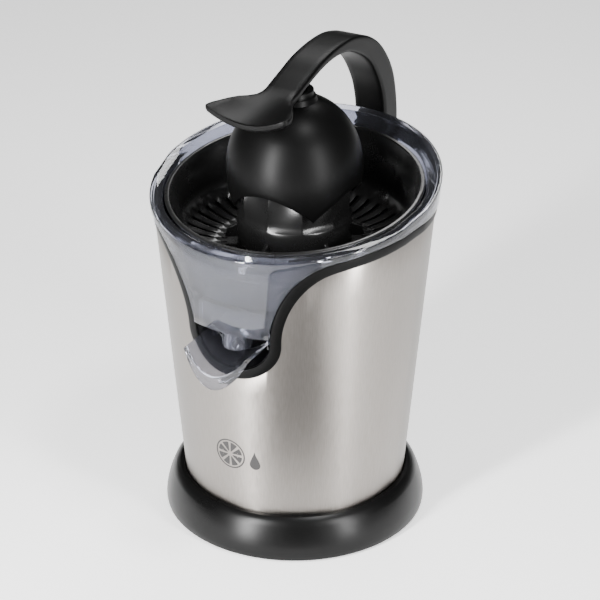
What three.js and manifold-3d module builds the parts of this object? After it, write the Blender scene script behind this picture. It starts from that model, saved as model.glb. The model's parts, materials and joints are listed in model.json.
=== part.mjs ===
// Lever citrus press: a steel-clad motor base with a clear juice collector, a strainer basket,
// a turning reamer and a hinged lever whose dome presses half an orange on to the reamer.
// Millimetres, +Z up. The origin is on the spindle's axis, in the plane the rubber feet stand on.
// The spout points to -Y and the lever's hinge is at +Y.
import * as THREE from "three";
import { mergeVertices } from "three/addons/utils/BufferGeometryUtils.js";
import Module from "manifold-3d";

const wasm = await Module();
wasm.setup();

// ---- Driving dimensions ----------------------------------------------------------------------
const GAP = 0.3; // clearance between pieces that touch
const ROUND = 36; // facets on a large round piece
const SMALL_ROUND = 10; // facets on a small round piece

// Sleeve and base foot
const SLEEVE_R = 77.1; // brushed steel sleeve: radius where it leaves the foot
const SLEEVE_FLARE = 0.08615; // growth of that radius for each millimetre of height
const SLEEVE_WALL = 0.8;
const SLEEVE_LOW = 22;
const SLEEVE_TOP = 227;
const CUT_DEPTH = 90; // front cut-out, from the sleeve's top to the bottom of the U
const CUT_HALF = 33.3; // half the width of the U
const CUT_FLARE_X = 57.3; // where the U has opened out to
const FOOT_SPREAD = 13.9; // edge of the base foot, outside the sleeve
const FOOT_TOP = 30.6;
const FOOT_RISE = 1.5; // height of the base above the table, on its rubber feet
const FOOT_WALL = 3;
const PAD_R = 7; // rubber feet
const PAD_STEM_R = 3;
const PAD_RING_R = 62;
const COVER_THICK = 2.5;
const VENT_PITCH = 7;
const GLAND_R = 5.5; // bush that the mains lead would pass through
const GLAND_BORE = 3.6;
const GLAND_Z = 12.5;
const SCREW_R = 1.8; // every self-tapping screw
const SCREW_HEAD_R = 3.4;
const SCREW_RING_R = 66;

// Trim, inner housing and motor deck
const TRIM_WIDTH = 6.2; // black trim that covers the sleeve's edge
const TRIM_PROUD = 0.9;
const HOUSING_WALL = 2.4;
const DECK_DROP = 41; // from the sleeve's top down to the motor deck
const DECK_THICK = 3;
const RECESS_DEPTH = 33.16; // from the sleeve back to the recess's rear wall
const BOSS_R = 11; // spindle's boss on the deck
const BOSS_HEIGHT = 13;
const SEAL_R = 8.5;
const SEAL_THICK = 3;

// Clear juice collector
const RIM_RISE = 16.2; // rim above the sleeve's top, on the spindle's axis
const RIM_FALL = 13.94; // how much lower the rim is over the spout than beside the axis
const CLEAR_WALL = 2;
const SKIRT_PROUD = 2; // the clear wall stands this far outside the sleeve
const BIB_BOTTOM = 57; // bottom of the front bib, below the sleeve's top
const SUMP_HALF = 24;
const HUB_R = 14;
const NOZZLE_R = 9.5;
const NOZZLE_BORE = 6.5;
const NOZZLE_IN = 10.2; // nozzle's centre, inside the sleeve's radius
const NOZZLE_LENGTH = 13;

// Strainer basket
const BASKET_IN = 10.6; // basket's rim, inside the collector's rim
const BASKET_WALL = 2;
const BASKET_FLOOR = 44.5; // from the rim down to the basket's floor, on the spindle's axis
const COLLAR_R = 17; // collar round the collector's hub
const SLOTS = 48;
const SLOT_WIDTH = 2.2;
const SLOT_OUT_IN = 11.9; // outer ends of the slots, inside the basket's rim
const SLOT_LENGTH = 20;

// Reamer
const REAMER_R = 38.5;
const REAMER_RISE = 45.8; // tip above the rim
const REAMER_SKIRT = 22;
const REAMER_RIBS = 10;
const REAMER_WALL = 2.2;
const FINS = 6; // small fins at the reamer's foot that sweep pulp off the strainer
const FIN_REACH = 47;

// Press dome
const DOME_R = 45.5;
const DOME_WALL = 2.5;
const DOME_RISE = 60.3; // crown above the rim
const DOME_CROWN = 48.5; // crown above the dome's widest place
const DOME_FACETS = 32;
const EGG_STEPS = 7;
const ARCH_HALF = 27; // arches round the dome's lower edge
const ARCH_HEIGHT = 18;
const NECK_R = 12.7;
const NECK_HEIGHT = 5.5;
const FLOAT_PIN_R = 2; // pin that the dome rocks on
const STUD_R = 7.4; // stud under the arm, inside the neck
const STUD_SLACK = 0.9; // room for the dome to rock

// Lever arm, hinge and bracket
const ARM_WIDTH = 24;
const CREST_RISE = 83.3; // crest of the arm above the rim
const ARM_LEG = 20; // thickness of the rear leg
const BILL_THICK = 6.2;
const HINGE_OUT = 26.93; // hinge, outside the top of the sleeve
const HINGE_DROP = 5; // hinge, below the top of the sleeve
const HINGE_PIN_R = 3;
const EAR = 4.6; // thickness of each ear of the hinge bracket
const EAR_R = 9;
const BRACKET_DROP = 50; // from the hinge down to the bracket's lower edge
const BRACKET_SCREW_DROP = 44;
const BRACKET_SCREW_X = 10;

// Drip-stop chute
const CHUTE_HALF = 21.6;
const CHUTE_WALL = 1.8;
const CHUTE_REACH = 19.4; // lip, outside the sleeve
const CHUTE_TOP = 63; // upper edge, below the sleeve's top
const CHUTE_PIN_DROP = 3.5; // pin, below the upper edge
const CHUTE_PIN_IN = 10; // pin, in front of the recess's rear wall
const CHUTE_PIN_R = 2;

// Gears, motor, spindle and switch
const MODULE = 1.5; // two equal gear stages
const PINION_TEETH = 10;
const WHEEL_TEETH = 38;
const WHEEL_THICK = 8;
const TOOTH_BACKLASH = 0.5;
const PRESSURE_ANGLE = THREE.MathUtils.degToRad(25);
const ADDENDUM = 0.8 * MODULE;
const DEDENDUM = 1.1 * MODULE;
const PLATE_R = 68; // gearbox plates
const PLATE_THICK = 4;
const POST_RING_R = 60;
const POST_R = 5;
const IDLER_AXLE_R = 3;
const STATOR_SIZE = 76;
const STATOR_STACK = 34;
const WINDOW_IN = 15; // windows of the stack, from the axis
const WINDOW_OUT = 29;
const COIL_HALF = 17;
const ROTOR_R = 19;
const POLE_GAP = 0.8;
const ROTOR_SHAFT_R = 4;
const BEARING_R = 6.4;
const FAN_R = 32;
const FAN_BLADES = 7;
const SHAFT_R = 4.5; // reamer spindle
const HEX_R = 5; // corner radius of its lower hexagon
const SOCKET_R = 4.6; // corner radius of its upper hexagon
const SPINDLE_COLLAR_R = 14; // collar that the spring lifts and the switch feels
const PRESS_TRAVEL = 2.5; // how far the spindle goes down to close the switch
const SPRING_WIRE = 0.7;
const SPRING_R = 7.6;
const SPRING_TURNS = 3.5;
const BUSH_R = 11.5; // bronze bush round the output gear's hub
const BUSH_BORE = 9.8;
const SWITCH_X = 13.5; // plunger of the switch
const SWITCH_Y = -12.5;
const PLUNGER_R = 1.4;

// Heights of the drive, from the bottom up
const FAN_Z = 16;
const BRACKET_LOW_Z = 30;
const STATOR_Z = 44;
const BRACKET_HIGH_Z = 88;
const LOWER_PLATE_Z = 96;
const STAGE_1_Z = 104;
const STAGE_2_Z = 119;
const UPPER_PLATE_Z = 136;

// ---- Places worked out from the dimensions -----------------------------------------------------
const sleeveR = (z) => SLEEVE_R + SLEEVE_FLARE * (z - 30);
const innerR = (z) => sleeveR(z) - SLEEVE_WALL - GAP; // outside of the inner housing
const FOOT_R = SLEEVE_R + FOOT_SPREAD;
const RIM_Z = SLEEVE_TOP + RIM_RISE;
const RIM_R = sleeveR(RIM_Z) + SKIRT_PROUD;
const RIM_TILT = Math.atan(RIM_FALL / RIM_R);
const DECK_Z = SLEEVE_TOP - DECK_DROP;
const BOSS_TOP = DECK_Z + BOSS_HEIGHT;
const CUT_BOTTOM = SLEEVE_TOP - CUT_DEPTH;
const TRIM_TOP = SLEEVE_TOP + TRIM_WIDTH + GAP;
const BIB_Z = SLEEVE_TOP - BIB_BOTTOM;
const BOWL_FLOOR = DECK_Z + 1.5; // underside of the collector's floor
const RECESS_BACK = sleeveR(BIB_Z) - RECESS_DEPTH;
const NOZZLE_Y = NOZZLE_IN - sleeveR(BIB_Z);
const BASKET_R = RIM_R - BASKET_IN;
const SLOT_OUT = BASKET_R - SLOT_OUT_IN;
const SLOT_IN = SLOT_OUT - SLOT_LENGTH;
const FLOOR_Z = RIM_Z - BASKET_FLOOR; // upper face of the basket's floor
const REAMER_LOW = FLOOR_Z + PRESS_TRAVEL + 1.5;
const REAMER_TOP = RIM_Z + REAMER_RISE;
const REAMER_SHOULDER = REAMER_LOW + REAMER_SKIRT;
const SPINDLE_TOP = REAMER_SHOULDER + 8;
const SPINDLE_COLLAR_Z = UPPER_PLATE_Z + PLATE_THICK + 11.5;
const DOME_TOP = RIM_Z + DOME_RISE;
const NECK_TOP = DOME_TOP + NECK_HEIGHT;
const FLOAT_PIN_Z = DOME_TOP + 0.3;
const ARM_CREST = RIM_Z + CREST_RISE;
const HINGE_Y = sleeveR(SLEEVE_TOP) + HINGE_OUT;
const HINGE_Z = SLEEVE_TOP - HINGE_DROP;
const BRACKET_SCREW_END = HINGE_Y - 19;
const CHUTE_EDGE_Z = SLEEVE_TOP - CHUTE_TOP;
const CHUTE_FRONT = -sleeveR(CHUTE_EDGE_Z) - CHUTE_REACH;
const CHUTE_PIN_Z = CHUTE_EDGE_Z - CHUTE_PIN_DROP;
const CHUTE_PIN_Y = -RECESS_BACK - CHUTE_PIN_IN;
const CENTRE_DISTANCE = (MODULE * (PINION_TEETH + WHEEL_TEETH)) / 2;
const CLEAR = 2 * RIM_R; // farther out than any piece: how far cutting bodies reach

// ---- Solids --------------------------------------------------------------------------------------
// Turns a closed three.js geometry into a solid whose faces point outwards.
function solid(geometry) {
  const bare = new THREE.BufferGeometry();
  bare.setAttribute("position", geometry.getAttribute("position"));
  if (geometry.index) bare.setIndex(geometry.index);
  const merged = mergeVertices(bare, 1e-4);
  const place = merged.getAttribute("position");
  const points = Array.from({ length: place.count }, (_, i) =>
    new THREE.Vector3().fromBufferAttribute(place, i));
  const faces = [];
  let volume = 0;
  for (let i = 0; i < merged.index.count; i += 3) {
    const [a, b, c] = [0, 1, 2].map((k) => merged.index.getX(i + k));
    if (a === b || b === c || c === a) continue;
    faces.push([a, b, c]);
    volume += points[a].dot(points[b].clone().cross(points[c]));
  }
  const turned = volume < 0 ? faces.map(([a, b, c]) => [a, c, b]) : faces;
  return new wasm.Manifold(
    new wasm.Mesh({
      numProp: 3,
      vertProperties: Float32Array.from(points.flatMap((p) => [p.x, p.y, p.z])),
      triVerts: Uint32Array.from(turned.flat()),
    }),
  );
}

const join = (...parts) => parts.reduce((sum, part) => sum.add(part));
const cut = (body, ...tools) => tools.reduce((left, tool) => left.subtract(tool), body);

// A profile of (radius, height) pairs turned about Z.
function turned(profile, facets = ROUND, shape = (geometry) => geometry) {
  const points = profile.map(([r, z]) => new THREE.Vector2(r, z));
  if (profile[0][0] > 0) points.push(points[0].clone());
  return solid(shape(new THREE.LatheGeometry(points, facets).rotateX(Math.PI / 2)));
}

const ring = (r0, r1, z0, z1, facets = ROUND) => turned([[r0, z0], [r1, z0], [r1, z1], [r0, z1]], facets);
const disc = (r, z0, z1, facets = ROUND) => turned([[0, z0], [r, z0], [r, z1], [0, z1]], facets);

function box(x0, x1, y0, y1, z0, z1) {
  const block = new THREE.BoxGeometry(x1 - x0, y1 - y0, z1 - z0);
  return solid(block.translate((x0 + x1) / 2, (y0 + y1) / 2, (z0 + z1) / 2));
}

// A flat outline made thick, along X (outline in y, z), along Y (in x, z) or along Z (in x, y).
function slab(outline, axis, from, to) {
  const corners = outline instanceof THREE.Shape ? null : outline.map(([a, b]) => new THREE.Vector2(a, b));
  const shape = corners ? new THREE.Shape(corners) : outline;
  const block = new THREE.ExtrudeGeometry(shape, { depth: to - from, bevelEnabled: false, curveSegments: 6 });
  block.translate(0, 0, from);
  const [x, y, z] = [new THREE.Vector3(1, 0, 0), new THREE.Vector3(0, 1, 0), new THREE.Vector3(0, 0, 1)];
  if (axis === "x") block.applyMatrix4(new THREE.Matrix4().makeBasis(y, z, x));
  if (axis === "y") block.applyMatrix4(new THREE.Matrix4().makeBasis(x, z, y));
  return solid(block);
}

// A round bar along X, Y or Z; its centre line passes through (a, b) in the other two axes.
function rod(axis, r, a, b, from, to, facets = SMALL_ROUND) {
  const bar = new THREE.CylinderGeometry(r, r, to - from, facets);
  bar.translate(0, (from + to) / 2, 0);
  if (axis === "x") bar.rotateZ(-Math.PI / 2).translate(0, a, b);
  if (axis === "y") bar.translate(a, 0, b);
  if (axis === "z") bar.rotateX(Math.PI / 2).translate(a, b, 0);
  return solid(bar);
}

const at = (body, x, y, z) => body.translate([x, y, z]);

// Closed solid through rings of points; every ring lists its upper points and then, back again, its lower.
function loft(rings) {
  const count = rings[0].length;
  const position = rings.flat().flatMap((p) => [p.x, p.y, p.z]);
  const index = [];
  const quad = (a, b, c, d) => index.push(a, b, c, a, c, d);
  for (let i = 0; i + 1 < rings.length; i++) {
    for (let k = 0; k < count; k++) {
      const next = (k + 1) % count;
      quad(i * count + k, i * count + next, (i + 1) * count + next, (i + 1) * count + k);
    }
  }
  const last = (rings.length - 1) * count;
  for (let k = 0; k + 1 < count / 2; k++) {
    quad(k, count - 1 - k, count - 2 - k, k + 1);
    quad(last + k, last + k + 1, last + count - 2 - k, last + count - 1 - k);
  }
  const surface = new THREE.BufferGeometry();
  surface.setAttribute("position", new THREE.Float32BufferAttribute(position, 3));
  surface.setIndex(index);
  return solid(surface);
}

// Leans everything above `low` to the rim's slope: the rim is lowest over the spout.
function leanRim(low) {
  return (geometry) => {
    const place = geometry.getAttribute("position");
    for (let i = 0; i < place.count; i++) {
      const share = THREE.MathUtils.clamp((place.getZ(i) - low) / (RIM_Z - low), 0, 1.2);
      place.setZ(i, place.getZ(i) + Math.tan(RIM_TILT) * place.getY(i) * share);
    }
    return geometry;
  };
}

// ---- The cut-out's outline -----------------------------------------------------------------------
// Half of the U and its flare, from the bottom to the side, moved inwards by `inset`.
function cutHalf(inset) {
  const half = new THREE.CurvePath();
  const v = (x, z) => new THREE.Vector2(x, z);
  const sideZ = CUT_BOTTOM + 29;
  const flareZ = SLEEVE_TOP - 11.3;
  const edgeX = sleeveR(SLEEVE_TOP);
  half.add(new THREE.EllipseCurve(0, sideZ, CUT_HALF, sideZ - CUT_BOTTOM, -Math.PI / 2, 0));
  half.add(new THREE.CubicBezierCurve(
    v(CUT_HALF, sideZ), v(CUT_HALF + 0.5, sideZ + 19), v(CUT_FLARE_X - 13.3, flareZ - 9.7),
      v(CUT_FLARE_X, flareZ)));
  half.add(new THREE.CubicBezierCurve(
    v(CUT_FLARE_X, flareZ), v(CUT_FLARE_X + 8.7, flareZ + 6.3), v(edgeX - 14, SLEEVE_TOP - 5.5),
      v(edgeX, SLEEVE_TOP)));
  const places = half.curves.flatMap((curve, i) => curve.getPoints(7).slice(i ? 1 : 0));
  return places.map((p, i) => {
    const along = places[Math.min(i + 1, places.length - 1)].clone().sub(places[Math.max(i - 1,
      0)]).normalize();
    if (i === 0) along.set(1, 0);
    return new THREE.Vector2(p.x - along.y * inset, p.y + along.x * inset);
  });
}

// Everything above the outline: the room over the cut-out in front, and over its level edge behind.
function aboveCut(inset) {
  const right = cutHalf(inset);
  const edge = right[right.length - 1];
  const left = right.slice(1).map((p) => new THREE.Vector2(-p.x, p.y)).reverse();
  const outline = [...left, ...right, new THREE.Vector2(CLEAR, edge.y), new THREE.Vector2(CLEAR, 2 * RIM_Z),
    new THREE.Vector2(-CLEAR, 2 * RIM_Z), new THREE.Vector2(-CLEAR, edge.y)];
  const front = slab(new THREE.Shape(outline), "y", -CLEAR, 0);
  return join(front, box(-CLEAR, CLEAR, -0.01, CLEAR, edge.y, 2 * RIM_Z));
}

// A wall that follows the sleeve's cone, between two distances outside the sleeve's face.
function coneWall(inner, outer, z0, z1) {
  return turned([[sleeveR(z0) + inner, z0], [sleeveR(z0) + outer, z0],
    [sleeveR(z1) + outer, z1], [sleeveR(z1) + inner, z1]]);
}

const BRACKET_HALF = ARM_WIDTH / 2 + GAP + EAR; // half the width of the hinge bracket
const bracketNotch = () =>
  box(-BRACKET_HALF - GAP, BRACKET_HALF + GAP, 60, CLEAR, HINGE_Z - BRACKET_DROP - GAP, 2 * RIM_Z);

// ---- Base -----------------------------------------------------------------------------------------
function baseFoot() {
  const socket = (z) => sleeveR(z) + GAP;
  const shoulder = [[FOOT_R - 11.8, FOOT_TOP], [FOOT_R - 8.6, FOOT_TOP - 1.4], [FOOT_R - 5.4, FOOT_TOP - 5.6],
    [FOOT_R - 2.7, FOOT_TOP - 12.1], [FOOT_R - 0.7, 11], [FOOT_R, 5], [FOOT_R - 0.7, FOOT_RISE]];
  const inside = [[FOOT_R - 8, FOOT_RISE], [FOOT_R - 8, 5.5], [FOOT_R - 8 - FOOT_WALL, 9],
    [SLEEVE_R - 5.5, SLEEVE_LOW - 3.5], [SLEEVE_R - 5.5, SLEEVE_LOW - GAP],
    [socket(SLEEVE_LOW), SLEEVE_LOW - GAP], [socket(FOOT_TOP), FOOT_TOP]];
  const gland = rod("y", GLAND_R + GAP, 0, GLAND_Z, 60, CLEAR);
  return cut(turned([...shoulder, ...inside]), gland);
}

function cordGland() {
  const tube = rod("y", GLAND_R, 0, GLAND_Z, FOOT_R - 15, FOOT_R + 2);
  const flange = rod("y", GLAND_R + 2.2, 0, GLAND_Z, FOOT_R + 0.4, FOOT_R + 2.4);
  return cut(join(tube, flange), rod("y", GLAND_BORE, 0, GLAND_Z, 60, CLEAR));
}

function bottomCover() {
  const plate = disc(FOOT_R - 8 - GAP, FOOT_RISE, FOOT_RISE + COVER_THICK);
  const holes = quarterTurns(PAD_RING_R, Math.PI / 4).map(([x, y]) => rod("z", PAD_STEM_R, x, y, 0, 9));
  const screws = quarterTurns(SCREW_RING_R, 0).map(([x, y]) => rod("z", SCREW_R + GAP, x, y, 0, 9));
  const vents = [-3, -2, -1, 1, 2, 3].flatMap((i) => [-44, 18].map((y) =>
    box(i * VENT_PITCH - 1.5, i * VENT_PITCH + 1.5, y, y + 26, 0, 9)));
  return cut(plate, ...holes, ...screws, ...vents);
}

// Four places on a circle, a quarter turn apart.
const quarterTurns = (r, start) =>
  [0, 1, 2, 3].map((k) => start + (k * Math.PI) / 2).map((angle) => [r * Math.cos(angle),
    r * Math.sin(angle)]);

const rubberFoot = (x, y) =>
  join(rod("z", PAD_R, x, y, 0, FOOT_RISE - GAP), rod("z", PAD_STEM_R - GAP, x, y, 0,
    FOOT_RISE + COVER_THICK));

function coverScrew(x, y) {
  const head = rod("z", SCREW_HEAD_R, x, y, FOOT_RISE - GAP - 0.9, FOOT_RISE - GAP);
  return join(head, rod("z", SCREW_R, x, y, FOOT_RISE - GAP - 0.5, SLEEVE_LOW - 4));
}

const steelSleeve = () => cut(coneWall(-SLEEVE_WALL, 0, SLEEVE_LOW, SLEEVE_TOP + 9), aboveCut(0),
  bracketNotch());

function trimBand() {
  const band = coneWall(-SLEEVE_WALL, TRIM_PROUD, CUT_BOTTOM - 10, TRIM_TOP);
  return cut(band.intersect(aboveCut(GAP)), aboveCut(TRIM_WIDTH), bracketNotch());
}

// Black housing inside the sleeve: outer wall, motor deck with the spindle's boss, and the recess
// behind the spout, which is open at the front and at the top.
function innerHousing() {
  const low = SLEEVE_LOW + 2;
  const shell = cut(coneWall(-SLEEVE_WALL - GAP - HOUSING_WALL, -SLEEVE_WALL - GAP, low, TRIM_TOP),
    aboveCut(TRIM_WIDTH));
  const deckR = innerR(DECK_Z) - 0.5 * HOUSING_WALL;
  const deck = disc(deckR, DECK_Z - DECK_THICK, DECK_Z);
  const boss = disc(BOSS_R, DECK_Z - 1, BOSS_TOP, SMALL_ROUND);
  const outline = (inset, below, top) => {
    const right = cutHalf(inset).filter((p) => p.y < below);
    const left = right.slice(1).map((p) => new THREE.Vector2(-p.x, p.y)).reverse();
    const edge = right[right.length - 1].x;
    return new THREE.Shape([...left, ...right, new THREE.Vector2(edge, top), new THREE.Vector2(-edge, top)]);
  };
  const boundary = turned([[0, low], [innerR(low) - 0.5, low], [innerR(TRIM_TOP) - 0.5, TRIM_TOP], [0,
    TRIM_TOP]]);
  const alcove = slab(
    outline(TRIM_WIDTH - HOUSING_WALL, DECK_Z - 6, DECK_Z - 0.5), "y", -CLEAR, -RECESS_BACK + HOUSING_WALL);
  const room = slab(outline(TRIM_WIDTH, SLEEVE_TOP - 20, 2 * RIM_Z), "y", -CLEAR, -RECESS_BACK);
  const spindleHole = rod("z", SHAFT_R + 1, 0, 0, 100, BOSS_TOP + 5);
  const sealSeat = rod("z", SEAL_R + GAP, 0, 0, BOSS_TOP - SEAL_THICK - GAP, BOSS_TOP + 5);
  const pinHoles = rod("x", CHUTE_PIN_R + GAP, CHUTE_PIN_Y, CHUTE_PIN_Z, -CHUTE_HALF - 8, CHUTE_HALF + 8);
  const bracketHoles = bracketScrewPlaces().map(([x, z]) => rod("y", SCREW_R + GAP, x, z, 60, CLEAR));
  const body = join(shell, deck, boss, alcove.intersect(boundary));
  return cut(body, room, spindleHole, sealSeat, pinHoles, ...bracketHoles);
}

const shaftSeal = () => ring(SHAFT_R + GAP, SEAL_R, BOSS_TOP - SEAL_THICK, BOSS_TOP, SMALL_ROUND);

// ---- Juice path -------------------------------------------------------------------------------------
// Everything under the rim's slope, inside the collector's outer face.
function underRim(proud) {
  const z0 = BIB_Z - 5;
  const z1 = RIM_Z + 25;
  const cone = turned([[0, z0], [sleeveR(z0) + proud, z0], [sleeveR(z1) + proud, z1], [0, z1]]);
  const slope = Math.tan(RIM_TILT) * CLEAR;
  const below = [[-CLEAR, z0 - 5], [CLEAR, z0 - 5], [CLEAR, RIM_Z + slope], [-CLEAR, RIM_Z - slope]];
  return cone.intersect(slab(below, "x", -CLEAR, CLEAR));
}

// Clear collector: outer wall with the front bib, sloped brim, inner bowl with a hub tube, front sump
// and the round nozzle that lets the juice out over the chute.
function juiceCollector() {
  const bowlOut = (z) => innerR(z) - HOUSING_WALL - 1;
  const bendZ = RIM_Z - 9;
  const outerWall = coneWall(SKIRT_PROUD - CLEAR_WALL, SKIRT_PROUD, BIB_Z, RIM_Z + 24)
    .intersect(aboveCut(TRIM_WIDTH + GAP)).intersect(underRim(SKIRT_PROUD + 1));
  const bowl = turned([
    [RIM_R + 6, RIM_Z - 0.8], [BASKET_R + 1.6, RIM_Z - 3.4], [BASKET_R + 0.8, RIM_Z - 4.6],
    [bowlOut(FLOOR_Z) - CLEAR_WALL, FLOOR_Z],
    [bowlOut(BOWL_FLOOR) - CLEAR_WALL, BOWL_FLOOR + CLEAR_WALL], [HUB_R - CLEAR_WALL,
      BOWL_FLOOR + CLEAR_WALL],
    [HUB_R - CLEAR_WALL, BOWL_FLOOR], [bowlOut(BOWL_FLOOR), BOWL_FLOOR], [bowlOut(bendZ), bendZ],
      [RIM_R + 6, RIM_Z - 3],
  ], ROUND, leanRim(FLOOR_Z + 15)).intersect(underRim(SKIRT_PROUD - 0.5));
  const hub = ring(HUB_R - CLEAR_WALL, HUB_R, BOWL_FLOOR, FLOOR_Z + 8, SMALL_ROUND);
  const sumpBack = -RECESS_BACK - 3;
  const inFront = box(-SUMP_HALF, SUMP_HALF, -CLEAR, sumpBack, BIB_Z, BOWL_FLOOR + CLEAR_WALL);
  const sumpRoom = box(-SUMP_HALF + CLEAR_WALL, SUMP_HALF - CLEAR_WALL, -CLEAR, sumpBack - CLEAR_WALL,
    BIB_Z + CLEAR_WALL, BOWL_FLOOR + CLEAR_WALL + 1);
  const nozzle = rod("z", NOZZLE_R, 0, NOZZLE_Y, BIB_Z - NOZZLE_LENGTH, BIB_Z + 1);
  const bore = rod("z", NOZZLE_BORE, 0, NOZZLE_Y, BIB_Z - NOZZLE_LENGTH - 5, BIB_Z + CLEAR_WALL + 1);
  const sump = inFront.intersect(underRim(SKIRT_PROUD - 0.5));
  return cut(join(outerWall, bowl, hub, sump, nozzle),
    sumpRoom.intersect(underRim(SKIRT_PROUD - CLEAR_WALL)), bore);
}

// Black strainer basket with radial slots round its floor.
function strainerBasket() {
  const up = FLOOR_Z;
  const low = FLOOR_Z - BASKET_WALL;
  const brim = RIM_Z - 2.5;
  const inside = [[BASKET_R - 3.4, brim - 1.5], [SLOT_OUT + 5, up + 14], [SLOT_OUT, up + 6.2],
    [SLOT_IN + 4, up], [COLLAR_R + BASKET_WALL, up], [COLLAR_R + BASKET_WALL, up + 9]];
  const outside = [[COLLAR_R, up + 9], [COLLAR_R, low], [SLOT_IN + 5, low], [SLOT_OUT + 1.2, low + 6],
    [SLOT_OUT + 7, up + 13.4], [BASKET_R - 1.6, brim - 2.6], [BASKET_R, brim - 2.2], [BASKET_R, brim],
    [BASKET_R - 3, brim]];
  const bowl = turned([...inside, ...outside], SLOTS, leanRim(up + 15));
  const slots = [];
  for (let k = 0; k < SLOTS; k++) {
    const slot = box(SLOT_IN, SLOT_OUT, -SLOT_WIDTH / 2, SLOT_WIDTH / 2, low - 3, up + 9);
    slots.push(slot.rotate([0, 0, ((k + 0.5) * 360) / SLOTS]));
  }
  return cut(bowl, ...slots);
}

// Drip-stop chute: a shallow clear channel with a turned-down lip, on a pin at its back.
function chute() {
  const steps = 8;
  const lipDrop = 8;
  const section = (y, depth, drop = 0) => {
    const upper = [];
    const lower = [];
    for (let i = 0; i <= steps; i++) {
      const across = (2 * i) / steps - 1;
      const bow = 1 - across * across;
      const z = CHUTE_EDGE_Z - depth * bow;
      const nose = (bow * 6 * (CHUTE_PIN_Y - y)) / (CHUTE_PIN_Y - CHUTE_FRONT);
      upper.push(new THREE.Vector3(CHUTE_HALF * across, y - nose, z));
      const x = (CHUTE_HALF + CHUTE_WALL * Math.abs(across)) * across;
      lower.unshift(new THREE.Vector3(x, y - nose, z - CHUTE_WALL - drop * bow));
    }
    return [...upper, ...lower];
  };
  const start = CHUTE_PIN_Y - 7;
  const channel = loft([section(start, 11.5), section(start - 17, 12.6), section(CHUTE_FRONT, 14)]);
  const lip = loft([section(CHUTE_FRONT + 1.6, 14.5, lipDrop), section(CHUTE_FRONT, 14.5, lipDrop)]);
  const back = CHUTE_PIN_Y + CHUTE_PIN_R + 1.6;
  const arms = [-1, 1].map((side) => {
    const [x0, x1] = [side * CHUTE_HALF, side * (CHUTE_HALF - CHUTE_WALL)].sort((a, b) => a - b);
    const outline = [[back, CHUTE_PIN_Z - 3], [back, CHUTE_EDGE_Z], [start - 3, CHUTE_EDGE_Z],
      [start - 3, CHUTE_EDGE_Z - 8], [start, CHUTE_EDGE_Z - 9]];
    return slab(outline, "x", x0, x1);
  });
  return cut(join(channel, lip, ...arms), rod("x", CHUTE_PIN_R + GAP, CHUTE_PIN_Y, CHUTE_PIN_Z, -CLEAR,
    CLEAR));
}

const chutePin = () => rod("x", CHUTE_PIN_R, CHUTE_PIN_Y, CHUTE_PIN_Z, -CHUTE_HALF - 7, CHUTE_HALF + 7);

// ---- Reamer and dome ----------------------------------------------------------------------------------
const hexagon = (r, z0, z1) => turned([[0, z0], [r, z0], [r, z1], [0, z1]], 6);

// Ribbed cone on a straight skirt, hollow below, with a hexagonal socket in its middle.
function reamer() {
  const height = REAMER_TOP - REAMER_SHOULDER;
  const ribbed = (grow) => (geometry) => {
    const place = geometry.getAttribute("position");
    for (let i = 0; i < place.count; i++) {
      const [x, y, z] = [place.getX(i), place.getY(i), place.getZ(i)];
      const share = THREE.MathUtils.clamp((z - REAMER_SHOULDER) / height, 0, 1);
      const wave = 1 + grow * Math.sin(Math.PI * Math.min(1,
        share * 1.1)) * Math.cos(REAMER_RIBS * Math.atan2(y, x));
      place.setXY(i, x * wave, y * wave);
    }
    return geometry;
  };
  const cone = [[REAMER_R, REAMER_LOW], [REAMER_R, REAMER_SHOULDER - 4]];
  for (let i = 0; i <= 8; i++) {
    const share = i / 8;
    cone.push([(REAMER_R - 2.5) * Math.cos((share ** 1.15 * Math.PI) / 2), REAMER_SHOULDER + height * share]);
  }
  cone[cone.length - 1][0] = 0;
  const outer = turned([[0, REAMER_LOW], ...cone], 4 * REAMER_RIBS, ribbed(0.07));
  const inner = turned([[0, REAMER_LOW - 1], [REAMER_R - REAMER_WALL, REAMER_LOW - 1],
    [REAMER_R - REAMER_WALL, REAMER_SHOULDER - 4], [REAMER_R - 9, REAMER_SHOULDER + 12],
    [REAMER_R - 21, REAMER_TOP - 22], [0, REAMER_TOP - 22]], 4 * REAMER_RIBS);
  const hub = disc(8.5, REAMER_LOW + 2, REAMER_TOP - 21, SMALL_ROUND);
  const fins = [];
  for (let k = 0; k < FINS; k++) {
    const side = [[REAMER_R - 1, REAMER_LOW], [FIN_REACH, REAMER_LOW], [FIN_REACH - 2, REAMER_LOW + 7],
      [REAMER_R - 1, REAMER_LOW + 10]];
    fins.push(slab(side, "y", -1.2, 1.2).rotate([0, 0, ((k + 0.5) * 360) / FINS]));
  }
  return cut(join(cut(outer, inner), hub, ...fins), hexagon(SOCKET_R + GAP, REAMER_LOW - 1,
    SPINDLE_TOP + GAP));
}

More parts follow.
